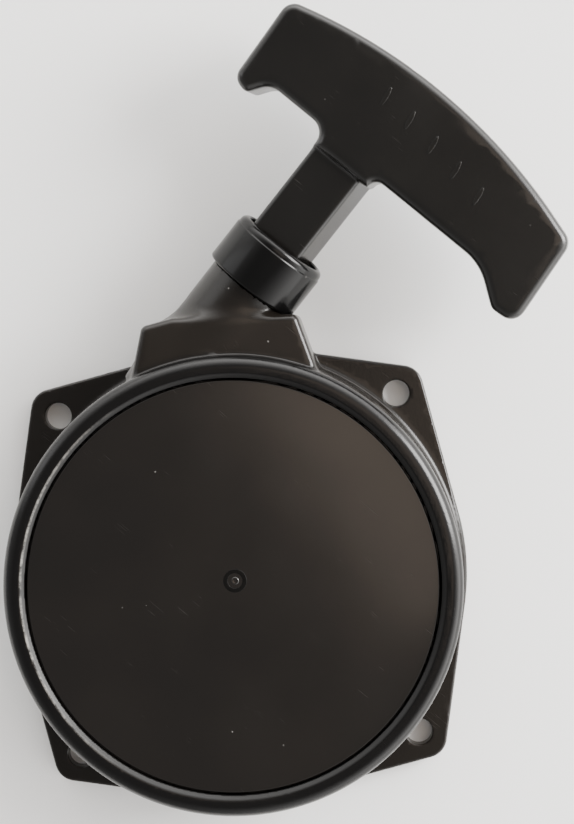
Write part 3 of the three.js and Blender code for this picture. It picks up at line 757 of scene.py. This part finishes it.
def front_disc():
    """A flat inset disc, with the low ring that its moulding gate left near the middle."""
    low, high = box_mm("front_disc")
    top, bottom, radius = high[2], low[2], high[0]
    corners = [(0.01, bottom, 0), (radius, bottom, 0.2), (radius, top, 0.45), (0.01, top, 0)]
    finish(turned("front_disc_face", corners, 256, on_axis=True), "disc_plastic", "housing", "front_disc")
    ring = [
        (GATE_R - 0.6, top - 0.1, 0),
        (GATE_R + 0.6, top - 0.1, 0),
        (GATE_R + 0.45, top + 0.05, 0.1),
        (GATE_R - 0.45, top + 0.05, 0.1),
    ]
    place = Matrix.Translation(Vector((*GATE_AT, 0)))
    finish(turned("front_disc_gate_ring", ring, 96, place), "gate_plastic", "housing")
    stub = [
        (0.01, top - 0.1, 0),
        (1.0, top - 0.1, 0),
        (0.75, top + 0.12, 0.2),
        (0.3, top + 0.04, 0.2),
        (0.01, top + 0.04, 0),
    ]
    finish(turned("front_disc_gate_stub", stub, 48, place, on_axis=True), "disc_plastic", "housing")


def rope_collar():
    seat = SPIGOT_R + GAP
    corners = [
        (seat, -COLLAR_L, 0.3),
        (COLLAR_R, -COLLAR_L, 0.7),
        (COLLAR_R, -2.3, 0.4),
        (COLLAR_R - 0.25, -2.0, 0.3),
        (COLLAR_R - 0.25, 0, 1.6),
        (10.2, 0, 0.5),
        (10.2, -COLLAR_SEAT, 0.2),
        (seat, -COLLAR_SEAT, 0.2),
    ]
    sleeve = turned("rope_collar_sleeve", corners, 128, ALONG_PULL)
    finish(sleeve, "collar_plastic", "housing", "rope_collar")


# ---------------------------------------------------------------- pull handle

HANDLE_ROLL = math.radians(4)
HANDLE_U = ACROSS * math.cos(HANDLE_ROLL) + OVER * math.sin(HANDLE_ROLL)
HANDLE_W = OVER * math.cos(HANDLE_ROLL) - ACROSS * math.sin(HANDLE_ROLL)
HANDLE_FRAME = frame_matrix(MOUTH, HANDLE_U, PULL, HANDLE_W)
GRIP_T = 17.0
GRIP_EDGE = 2.2
GRIP_CORNERS = [
    (8.6, 58.3, 141),
    (-34.6, 47.1, 3.8),
    (-33.7, 24.1, 3.4),
    (-29.1, 23.2, 1.8),
    (-25.4, 28.4, 5),
    (-8.25, 28.2, 4),
    (-8.25, 23.6, 0.1),
    (8.25, 23.6, 0.1),
    (8.25, 26.5, 2.6),
    (40.6, 26.2, 14),
    (49.5, 19.6, 3),
    (56.4, 20, 3.6),
    (54.5, 43.7, 4),
]
STEM_W = 16.5
STEM_T = 14.0
STEM_ROUND = 2.6
STEM_SLOPE = 2.4
STEM_DROP = 0.2
STEM_FOOT = -2.9
STEM_COVER = 12
ROPE_PLAY = 0.6
POCKET_R = 6.0
POCKET_AT = 44.0
MARK_PLACES = [(-1.5, 43.6), (6.5, 42.6), (14.5, 41.4), (22.5, 40.1), (30.5, 38.6)]
MARK_L = 5.0
MARK_W = 1.2
MARK_RISE = 0.16
MARK_LEAN = 98


def handle_field(u, v, w):
    grip = slab(Outline(GRIP_CORNERS)(u, v), w, -GRIP_T / 2, GRIP_T / 2, GRIP_EDGE)
    half_w, half_t = STEM_W / 2, STEM_T / 2
    corners = [
        (half_w - STEM_SLOPE, half_t, STEM_ROUND / 2),
        (-half_w, half_t, STEM_ROUND / 2),
        (-half_w, -half_t, STEM_ROUND),
        (half_w, -half_t, STEM_ROUND),
    ]
    section = Outline(corners)
    stem = common(section(u, w + STEM_DROP), STEM_FOOT - v, v - POCKET_AT + STEM_COVER)
    body = unite(grip, stem, 0.9)
    bore = size_of(u, w) - ROPE_R - ROPE_PLAY
    body = carve(body, common(bore, v - POCKET_AT - 1), 0.4)
    return carve(body, common(size_of(u, w) - POCKET_R, POCKET_AT - v), 0.8)


def marks_field(u, v, w):
    """Five low raised dashes across the grip, tapered at both ends, in place of lettering."""
    lean = math.radians(MARK_LEAN)
    along_axis = (math.cos(lean), math.sin(lean), 0)
    beside_axis = (-along_axis[1], along_axis[0], 0)
    marks = None
    for mark_u, mark_v in MARK_PLACES:
        along, beside = in_frame(u, v, w, (mark_u, mark_v, 0), (along_axis, beside_axis))
        flat = (size_of(along / (MARK_L / 2), beside / (MARK_W / 2)) - 1) * MARK_W / 2
        mark = slab(flat, w, GRIP_T / 2 - 0.6, GRIP_T / 2 + MARK_RISE, 0.12)
        marks = mark if marks is None else np.minimum(marks, mark)
    return marks


def pull_handle():
    grip = solid("pull_handle_grip", handle_field, (-37, -4.5, -10), (58.5, 55, 10), 0.45, HANDLE_FRAME)
    finish(grip, "handle_plastic", "handle", "pull_handle")
    marks = solid("pull_handle_marks", marks_field, (-4, 35, 7.5), (33, 47, 9.0), 0.14, HANDLE_FRAME)
    finish(marks, "handle_plastic", "handle")


# ---------------------------------------------------------------- guide bush, rope and its knots

EYELET_BORE_R = 2.3
ROPE_DRAWN_FROM = -10.0
ROPE_DRAWN_TO = -2.0
ROPE_TURNS = 3
ROPE_PITCH = 3.5
ROPE_START = math.degrees(math.atan2(HEADING[1], HEADING[0])) + 90
ROPE_END_TURN = 14
KNOT_SIZE = 0.6
KNOT_STRAND_R = 1.1


def guide_bush():
    """A flared wear ring of polished steel, in the bottom of the collar's mouth."""
    top = -COLLAR_SEAT - GAP
    bottom = top - EYELET_L
    flare = EYELET_BORE_R + EYELET_L / 2
    corners = [
        (flare + 0.6, bottom, 0.5),
        (SPIGOT_R, bottom, 0.3),
        (SPIGOT_R, top, 0.5),
        (flare + 0.6, top, 0.7),
        (EYELET_BORE_R, (top + bottom) / 2 + 0.7, 1.6),
        (EYELET_BORE_R, (top + bottom) / 2 - 0.7, 1.6),
    ]
    ring = turned("guide_bush_ring", corners, 96, ALONG_PULL)
    finish(ring, "polished_steel", "housing", "guide_bush")


def rope_run():
    """The rope from the reel to the handle. Its rings are closest where it is drawn out."""
    level = [ROPE_FOOT + HEADING * reach for reach in (GAP, 10, 20, 30, 38)]
    fixed_end = MOUTH + PULL * ROPE_DRAWN_FROM
    moving = [MOUTH + PULL * reach for reach in (10, 20, 30, 38, POCKET_AT + GAP + 1)]
    bend = smooth_path(level + [MOUTH + PULL * -22, MOUTH + PULL * -16, fixed_end], 60)
    drawn = [MOUTH + PULL * reach for reach in np.linspace(ROPE_DRAWN_FROM, ROPE_DRAWN_TO, 160)]
    path = np.vstack([bend[:-1], drawn, moving])
    obj = finish(tube("rope_run_braid", path, ROPE_R, 14), "rope", None, "rope_run")
    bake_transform(obj)


def knot(name, centre, body, node, turn):
    """A tight overhand knot, as a trefoil of rope."""
    angles = np.linspace(0, 2 * math.pi, 97)[:-1]
    path = np.stack(
        [
            np.sin(angles) + 2 * np.sin(2 * angles),
            np.cos(angles) - 2 * np.cos(2 * angles),
            -1.5 * np.sin(3 * angles),
        ],
        axis=1,
    )
    axis_x, axis_y, axis_z = turn
    matrix = frame_matrix(centre, axis_x, axis_y, axis_z)
    obj = tube(name, path * KNOT_SIZE, KNOT_STRAND_R, 14, closed=True, matrix=matrix)
    finish(obj, "rope_wound", body, node)


def handle_stop():
    """The washer and the knot in the handle's pocket."""
    bottom = POCKET_AT + GAP
    corners = ring_corners(ROPE_R + 2 * GAP, POCKET_R - 1, bottom, bottom + 1, 0.2)
    along_handle = frame_matrix(MOUTH, HANDLE_U, np.cross(PULL, HANDLE_U), PULL)
    finish(turned("handle_washer_ring", corners, 64, along_handle), "zinc_steel", "handle", "handle_washer")
    knot("handle_knot_braid", centre_mm("handle_knot"), "handle", "handle_knot", (HANDLE_U, HANDLE_W, PULL))


def rope_coil():
    """Three turns of rope on the reel, and its end going down through the reel to a knot."""
    path = []
    for angle in np.linspace(0, 360 * ROPE_TURNS, 48 * ROPE_TURNS + 1):
        path.append(polar(ROPE_OFFSET - ROPE_PITCH * angle / 360, ROPE_START + angle, ROPE_Z))
    end = polar(REEL_BARREL_R + ROPE_R + GAP, ROPE_START + 360 * ROPE_TURNS + ROPE_END_TURN, 0)
    tail = [path[-1], end + [0, 0, ROPE_Z - ROPE_R], end + [0, 0, REEL_WEB_TOP - 3]]
    path = np.vstack([path[:-1], smooth_path(tail, 14)])
    finish(tube("rope_coil_braid", path, ROPE_R, 14), "rope_wound", "reel", "rope_coil")
    knot("reel_knot_braid", centre_mm("reel_knot"), "reel", "reel_knot", ((1, 0, 0), (0, 1, 0), (0, 0, 1)))


def polar(radius, degrees, z=0.0):
    angle = math.radians(degrees)
    return np.array([radius * math.cos(angle), radius * math.sin(angle), z])


def ring_corners(inner, outer, bottom, top, edge):
    return [(inner, bottom, edge), (outer, bottom, edge), (outer, top, edge), (inner, top, edge)]


# ---------------------------------------------------------------- recoil spring and its case

INSERT_BORE_R = 2.7
CASE_T = 0.8
CASE_EYE_R = 13.0
SPRING_TURNS = 7
SPRING_T = 0.5
SPRING_INNER_R = 14.0
SPRING_OUTER_R = 24.6


def spring_pack():
    """The pressed cup and lid, and the spring wound inside them."""
    low, high = box_mm("spring_cassette")
    radius, bottom, top = high[0], low[2], high[2]
    cup = [
        (radius - CASE_T, bottom, 0.2),
        (radius, bottom, 0.2),
        (radius, top, 1.4),
        (CASE_EYE_R, top, 0.3),
        (CASE_EYE_R, top - CASE_T, 0.3),
        (radius - CASE_T, top - CASE_T, 0.7),
    ]
    finish(turned("spring_cassette_cup", cup, 160), "zinc_steel", "housing", "spring_cassette")
    low, high = box_mm("cassette_lid")
    pressed = (high[0] + CASE_EYE_R) / 2
    lid = [
        (CASE_EYE_R, low[2], 0.15),
        (pressed - 4.5, low[2], 0.4),
        (pressed - 4.1, low[2] + 0.2, 0.4),
        (pressed + 4.1, low[2] + 0.2, 0.4),
        (pressed + 4.5, low[2], 0.4),
        (high[0], low[2], 0.15),
        (high[0], high[2], 0.15),
        (CASE_EYE_R, high[2], 0.15),
    ]
    finish(turned("cassette_lid_plate", lid, 160), "zinc_steel", "housing", "cassette_lid")
    finish(flat_spiral(), "spring_steel", "housing", "recoil_spring")
    low, high = box_mm("post_insert")
    insert = ring_corners(INSERT_BORE_R, high[0], low[2], high[2], 0.25)
    finish(turned("post_insert_bush", insert, 48), "bronze", "housing", "post_insert")
    bush = ring_corners(POST_R + GAP, REEL_BORE_R - GAP, REEL_BOTTOM, REEL_HUB_TOP, 0.3)
    finish(turned("reel_bush_sleeve", bush, 96), "bronze", "reel", "reel_bush")


def flat_spiral():
    """The recoil spring's strip, with worn round edges."""
    low, high = box_mm("recoil_spring")
    steps = 96 * SPRING_TURNS
    edge = 0.12
    section = [
        (0, low[2] + edge),
        (edge, low[2]),
        (SPRING_T - edge, low[2]),
        (SPRING_T, low[2] + edge),
        (SPRING_T, high[2] - edge),
        (SPRING_T - edge, high[2]),
        (edge, high[2]),
        (0, high[2] - edge),
    ]
    points = []
    faces = []
    around = len(section)
    for i in range(steps + 1):
        share = i / steps
        start = SPRING_INNER_R + (SPRING_OUTER_R - SPRING_INNER_R) * share
        points += [polar(start + out, 360 * SPRING_TURNS * share, z) for out, z in section]
    for i in range(steps):
        for k in range(around):
            after = (k + 1) % around
            here, ahead = i * around, (i + 1) * around
            faces.append((here + k, ahead + k, ahead + after, here + after)[::-1])
    faces.append(tuple(range(around)))
    faces.append(tuple(range(steps * around, (steps + 1) * around))[::-1])
    return new_object("recoil_spring_strip", points, faces)


# ---------------------------------------------------------------- centre screw, washer and guide plate

SCREW_R = 2.4
SCREW_HEAD_R = 4.6
SCREW_HEAD_H = 2.6
WASHER_R = 6.0
THREAD_PITCH = 0.9
THREAD_DEPTH = 0.45
PLATE_HOLE_R = 1.8


def hexagon(x, y, across_corners):
    """The flat distance outside a hexagon with corners on a circle."""
    flats = [math.radians(60 * i + 30) for i in range(6)]
    half = across_corners * math.cos(math.radians(30))
    return common(*[x * math.cos(angle) + y * math.sin(angle) - half for angle in flats])


def screw_field(x, y, z):
    """A hexagon-head screw: chamfered head with a shallow dish, and a rolled thread."""
    low, high = box_mm("centre_screw")
    radius = size_of(x, y)
    head_top = low[2] + SCREW_HEAD_H
    hexed = capped(hexagon(x, y, SCREW_HEAD_R), low[2] - z, 0.25)
    bevel = (radius - SCREW_HEAD_R * 0.9 - (z - low[2]) * 1.7) / 2
    head = common(hexed, z - head_top, bevel)
    head = carve(head, size_of(x, y, z - low[2] + 3.2) - 4.0, 0.3)
    turns = z / THREAD_PITCH - np.arctan2(y, x) / (2 * math.pi)
    wave = np.abs(turns - np.round(turns)) * 2
    thread = (radius - SCREW_R + THREAD_DEPTH * wave) * 0.8
    shank = common(thread, z - high[2], head_top - 1 - z, radius + z - high[2] - SCREW_R + 0.8)
    return unite(head, shank, 0.3)


def plate_field(x, y, z):
    low, high = box_mm("guide_plate")
    radius = size_of(x, y)
    plate = slab(radius - high[0], z, low[2], high[2], 0.35)
    for i in range(3):
        place = polar(high[0] * 0.66, 120 * i + 90)
        plate = carve(plate, size_of(x - place[0], y - place[1]) - PLATE_HOLE_R, 0.25)
    dish = common(WASHER_R + 1.0 - radius, radius - WASHER_R - 1.8, z - low[2] - 0.35)
    return carve(carve(plate, dish, 0.3), radius - SCREW_R - GAP, 0.25)


def screw_stack():
    low, high = box_mm("centre_screw")
    screw = solid("centre_screw_body", screw_field, low - 0.6, high + 0.6, 0.2)
    finish(screw, "zinc_steel", "housing", "centre_screw")
    low, high = box_mm("guide_plate")
    plate = solid("guide_plate_pressing", plate_field, low - 0.8, high + 0.8, 0.3)
    finish(plate, "zinc_steel", "housing", "guide_plate")
    low, high = box_mm("screw_washer")
    washer = ring_corners(SCREW_R + GAP, high[0], low[2], high[2], 0.2)
    finish(turned("screw_washer_ring", washer, 64), "zinc_steel", "housing", "screw_washer")
    low, high = box_mm("friction_spring")
    cone = [
        (POST_R + GAP, high[2] - 0.4, 0.1),
        (high[0], low[2], 0.1),
        (high[0], low[2] + 0.4, 0.1),
        (POST_R + GAP, high[2], 0.1),
    ]
    finish(turned("friction_spring_cone", cone, 96), "spring_steel", "housing", "friction_spring")


# ---------------------------------------------------------------- reel

REEL_R = 45.5
REEL_BOTTOM = 9.4
REEL_WEB_TOP = 12.0
REEL_BARREL_R = 29.6
REEL_BARREL_WALL = 2.0
REEL_FLANGE_T = 1.6
REEL_GROOVE_W = 4.2
REEL_HUB_R = 12.0
REEL_BORE_R = 9.2
REEL_HUB_TOP = 23.4
REEL_RIBS = 8
REEL_RIB_W = 1.4
REEL_WINDOWS = [60, 120, 240, 300]
WINDOW_HALF_TURN = 15
WINDOW_MARGIN = 2.5


def reel_field(x, y, z):
    radius = size_of(x, y)
    groove_top = REEL_WEB_TOP + REEL_GROOVE_W
    barrel_in = REEL_BARREL_R - REEL_BARREL_WALL
    lower = slab(radius - REEL_R, z, REEL_WEB_TOP - REEL_FLANGE_T, REEL_WEB_TOP, 0.5)
    upper = slab(radius - REEL_R, z, groove_top, groove_top + REEL_FLANGE_T, 0.5)
    barrel = slab(radius - REEL_BARREL_R, z, REEL_BOTTOM, groove_top + REEL_FLANGE_T, 0.6)
    body = unite(unite(lower, upper), barrel, 0.8)
    body = carve(body, common(radius - barrel_in, REEL_WEB_TOP - z), 0.6)
    body = unite(body, slab(radius - REEL_HUB_R, z, REEL_BOTTOM, REEL_HUB_TOP, 0.5), 1.0)
    angle = np.arctan2(y, x)
    pitch = 2 * math.pi / REEL_RIBS
    from_rib = angle - (np.floor(angle / pitch) + 0.5) * pitch
    beside = np.abs(radius * np.sin(from_rib)) - REEL_RIB_W / 2
    rib = common(beside, radius - REEL_R + 1, REEL_BARREL_R - 1 - radius)
    rib = common(rib, REEL_BOTTOM - z, z - REEL_WEB_TOP + 0.5)
    body = unite(body, rib, 0.6)
    for degrees in REEL_WINDOWS:
        middle = math.radians(degrees)
        turn = x * -math.sin(middle) + y * math.cos(middle)
        ahead = x * math.cos(middle) + y * math.sin(middle)
        half = math.radians(WINDOW_HALF_TURN)
        sides = np.abs(turn) * math.cos(half) - ahead * math.sin(half)
        window = common(sides, radius - barrel_in + WINDOW_MARGIN, REEL_HUB_R + WINDOW_MARGIN - radius)
        body = carve(body, common(window, z - REEL_WEB_TOP - 0.8, REEL_BOTTOM - 1 - z), 0.5)
    for degrees in (0, 180):
        place = polar(PAWL_PIVOT_R, degrees)
        pin = size_of(x - place[0], y - place[1])
        body = carve(body, common(pin - PIN_R - GAP, z - REEL_WEB_TOP - 0.8), 0.2)
    for lag in (0, -6):
        place = polar(REEL_BARREL_R + ROPE_R + GAP, ROPE_START + ROPE_END_TURN + lag)
        slot = size_of(x - place[0], y - place[1]) - 1.7 * ROPE_R
        body = carve(body, common(slot, z - REEL_WEB_TOP - 0.6), 0.3)
    return carve(body, radius - REEL_BORE_R, 0.3)


def rope_reel():
    low, high = box_mm("rope_reel")
    moulding = solid("rope_reel_moulding", reel_field, low - 1, high + 1, 0.45)
    finish(moulding, "reel_nylon", "reel", "rope_reel")


# ---------------------------------------------------------------- pawls

PAWL_PIVOT_R = 19.0
PAWL_LEAN = -102
PIN_R = 1.9
PAWL_CORNERS = [(-4, -3.6, 3), (6, -2.8, 9), (14, -1.8, 0.7), (14.6, 1.4, 0.9), (6, 4, 8), (-4, 3.8, 3)]


def pawl_field(x, y, z):
    low, high = box_mm("pawl_1")
    flat = Outline(PAWL_CORNERS)(x, y)
    body = slab(flat, z, low[2], high[2], 0.35)
    eye = size_of(x, y)
    step = common(slab(flat + 1.1, z, low[2] - 1, low[2] + 0.3, 0.1), 5.2 - eye)
    return carve(carve(body, step, 0.3), eye - PIN_R - GAP, 0.25)


def clip_field(x, y, z):
    """A retaining clip: an open ring with three inner lugs."""
    low, high = box_mm("pawl_clip_1")
    radius = size_of(x, y)
    angle = np.arctan2(y, x)
    lugs = 0.55 * np.clip(np.cos(3 * angle) * -1.6, 0, 1)
    flat = common(radius - high_radius("pawl_clip_1"), PIN_R + 0.35 - lugs - radius)
    mouth = np.abs(y) - x * math.tan(math.radians(32))
    return slab(carve(flat, common(mouth, -x), 0.3), z, low[2], high[2], 0.1)


def high_radius(node):
    low, high = box_mm(node)
    return (high[1] - low[1]) / 2


def pawl_set(side):
    """One pawl with its pin, retaining clip and return spring, on one side of the reel."""
    number = side + 1
    turn = math.radians(180 * side)
    spot = polar(PAWL_PIVOT_R, 180 * side)
    pivot = Matrix.Translation(Vector(spot)) @ Matrix.Rotation(turn, 4, "Z")
    leaning = pivot @ Matrix.Rotation(math.radians(PAWL_LEAN), 4, "Z")
    low, high = box_mm("pawl_1")
    corner, far_corner = (-5, -5, low[2] - 0.6), (16, 5.5, high[2] + 0.6)
    body = solid(f"pawl_{number}_tooth", pawl_field, corner, far_corner, 0.25, leaning)
    finish(body, "hard_steel", ("pawl_a", "pawl_b")[side], f"pawl_{number}")
    low, high = box_mm("pawl_pin_1")
    groove = low[2] + 0.6
    pin = [
        (0.01, low[2], 0),
        (PIN_R - 0.1, low[2], 0.35),
        (PIN_R - 0.1, groove, 0.1),
        (PIN_R - 0.5, groove, 0.1),
        (PIN_R - 0.5, groove + 1.0, 0.1),
        (PIN_R, groove + 1.0, 0.1),
        (PIN_R, high[2], 0.3),
        (0.01, high[2], 0),
    ]
    shaft = turned(f"pawl_pin_{number}_shaft", pin, 40, pivot, on_axis=True)
    finish(shaft, "polished_steel", "reel", f"pawl_pin_{number}")
    low, high = box_mm("pawl_clip_1")
    reach = high_radius("pawl_clip_1") + 0.4
    corner, far_corner = (-reach, -reach, low[2] - 0.3), (reach, reach, high[2] + 0.3)
    clip = solid(f"pawl_clip_{number}_ring", clip_field, corner, far_corner, 0.12, pivot)
    finish(clip, "spring_steel", "reel", f"pawl_clip_{number}")
    wire = 0.3
    loop = PIN_R + 3 * wire
    height = centre_mm("pawl_spring_1")[2]
    route = [(loop, -9, height), (loop, -4.5, height)]
    route += [tuple(polar(loop, degrees, height)) for degrees in range(0, 301, 30)]
    route += [(5.4, -loop - 1.2, height), (8, -loop - 2, height)]
    coil = tube(f"pawl_spring_{number}_wire", smooth_path(route, 90), wire, 10, matrix=pivot)
    finish(coil, "spring_steel", "reel", f"pawl_spring_{number}")


# ---------------------------------------------------------------- stage


WORLD_AROUND = 8.5
WORLD_BEHIND = 0.9
WORLD_OVERHEAD = 0.35
WORLD_BRIGHT_SIDE = (0.75, 0.5, 0.0)


def studio():
    floor = bpy.data.meshes.new("floor")
    side = 4.0
    corners = [(-side, -side, 0), (side, -side, 0), (side, side, 0), (-side, side, 0)]
    floor.from_pydata(corners, [], [(0, 1, 2, 3)])
    obj = bpy.data.objects.new("floor", floor)
    bpy.context.scene.collection.objects.link(obj)
    floor.materials.append(floor_material())
    obj.location.z = cad_box[0][2] - 0.0005
    soft_room()
    area_light("key", (0.85, 0.35, 0.42), (0.02, 0.03, 0.02), (0.5, 0.5), 24.0, (1.0, 0.99, 0.97))
    area_light("left_strip", (-0.8, 0.35, 0.35), (0.0, 0.0, 0.02), (0.25, 0.6), 0.8, (0.97, 0.98, 1.0))
    area_light("overhead", (0.27, 0.15, 0.95), (0.1, 0.05, 0.0), (0.55, 0.5), 1.35, (1.0, 0.8, 0.64))


def soft_room():
    """A room that is bright near the horizon on one side, and dim overhead."""
    world = bpy.data.worlds.new("studio")
    world.use_nodes = True
    tree = world.node_tree

    def ranged(value, low, high, to_low, to_high):
        node = tree.nodes.new("ShaderNodeMapRange")
        tree.links.new(value, node.inputs["Value"])
        for key, number in (("From Min", low), ("From Max", high)):
            node.inputs[key].default_value = number
        for key, number in (("To Min", to_low), ("To Max", to_high)):
            if isinstance(number, bpy.types.NodeSocket):
                tree.links.new(number, node.inputs[key])
            else:
                node.inputs[key].default_value = number
        return node.outputs["Result"]

    direction = tree.nodes.new("ShaderNodeTexCoord").outputs["Generated"]
    parts = tree.nodes.new("ShaderNodeSeparateXYZ")
    tree.links.new(direction, parts.inputs[0])
    sideways = tree.nodes.new("ShaderNodeVectorMath")
    sideways.operation = "DOT_PRODUCT"
    tree.links.new(direction, sideways.inputs[0])
    sideways.inputs[1].default_value = WORLD_BRIGHT_SIDE
    around = ranged(sideways.outputs["Value"], -0.6, 0.7, WORLD_BEHIND, WORLD_AROUND)
    strength = ranged(parts.outputs["Z"], 0.3, 0.88, around, WORLD_OVERHEAD)
    tree.links.new(strength, tree.nodes["Background"].inputs["Strength"])
    tree.nodes["Background"].inputs["Color"].default_value = (1.0, 0.985, 0.965, 1)
    bpy.context.scene.world = world


def area_light(name, place, target, size, power, colour):
    light = bpy.data.lights.new(name, "AREA")
    light.shape = "RECTANGLE"
    light.size, light.size_y = size
    light.energy = power
    light.color = colour
    obj = bpy.data.objects.new(name, light)
    obj.location = place
    obj.rotation_euler = (Vector(target) - Vector(place)).to_track_quat("-Z", "Y").to_euler()
    bpy.context.scene.collection.objects.link(obj)


CAMERA_AT = (0.0275, 0.0626, 0.500)
CAMERA_TO = (0.0224, 0.0609, 0.030)
CAMERA_LENS = 86.2
CAMERA_SHIFT = (-0.048, -0.097)


def camera():
    data = bpy.data.cameras.new("camera")
    data.sensor_fit = "VERTICAL"
    data.sensor_height = 36
    data.lens = CAMERA_LENS
    data.shift_x, data.shift_y = CAMERA_SHIFT
    obj = bpy.data.objects.new("camera", data)
    back = (Vector(CAMERA_AT) - Vector(CAMERA_TO)).normalized()
    right = Vector((0, 1, 0)).cross(back).normalized()
    obj.matrix_world = frame_matrix(CAMERA_AT, right, back.cross(right), back)
    bpy.context.scene.collection.objects.link(obj)
    bpy.context.scene.camera = obj


camera()
housing()
front_disc()
rope_collar()
guide_bush()
pull_handle()
handle_stop()
rope_run()
spring_pack()
screw_stack()
rope_reel()
rope_coil()
for side in range(2):
    pawl_set(side)
studio()
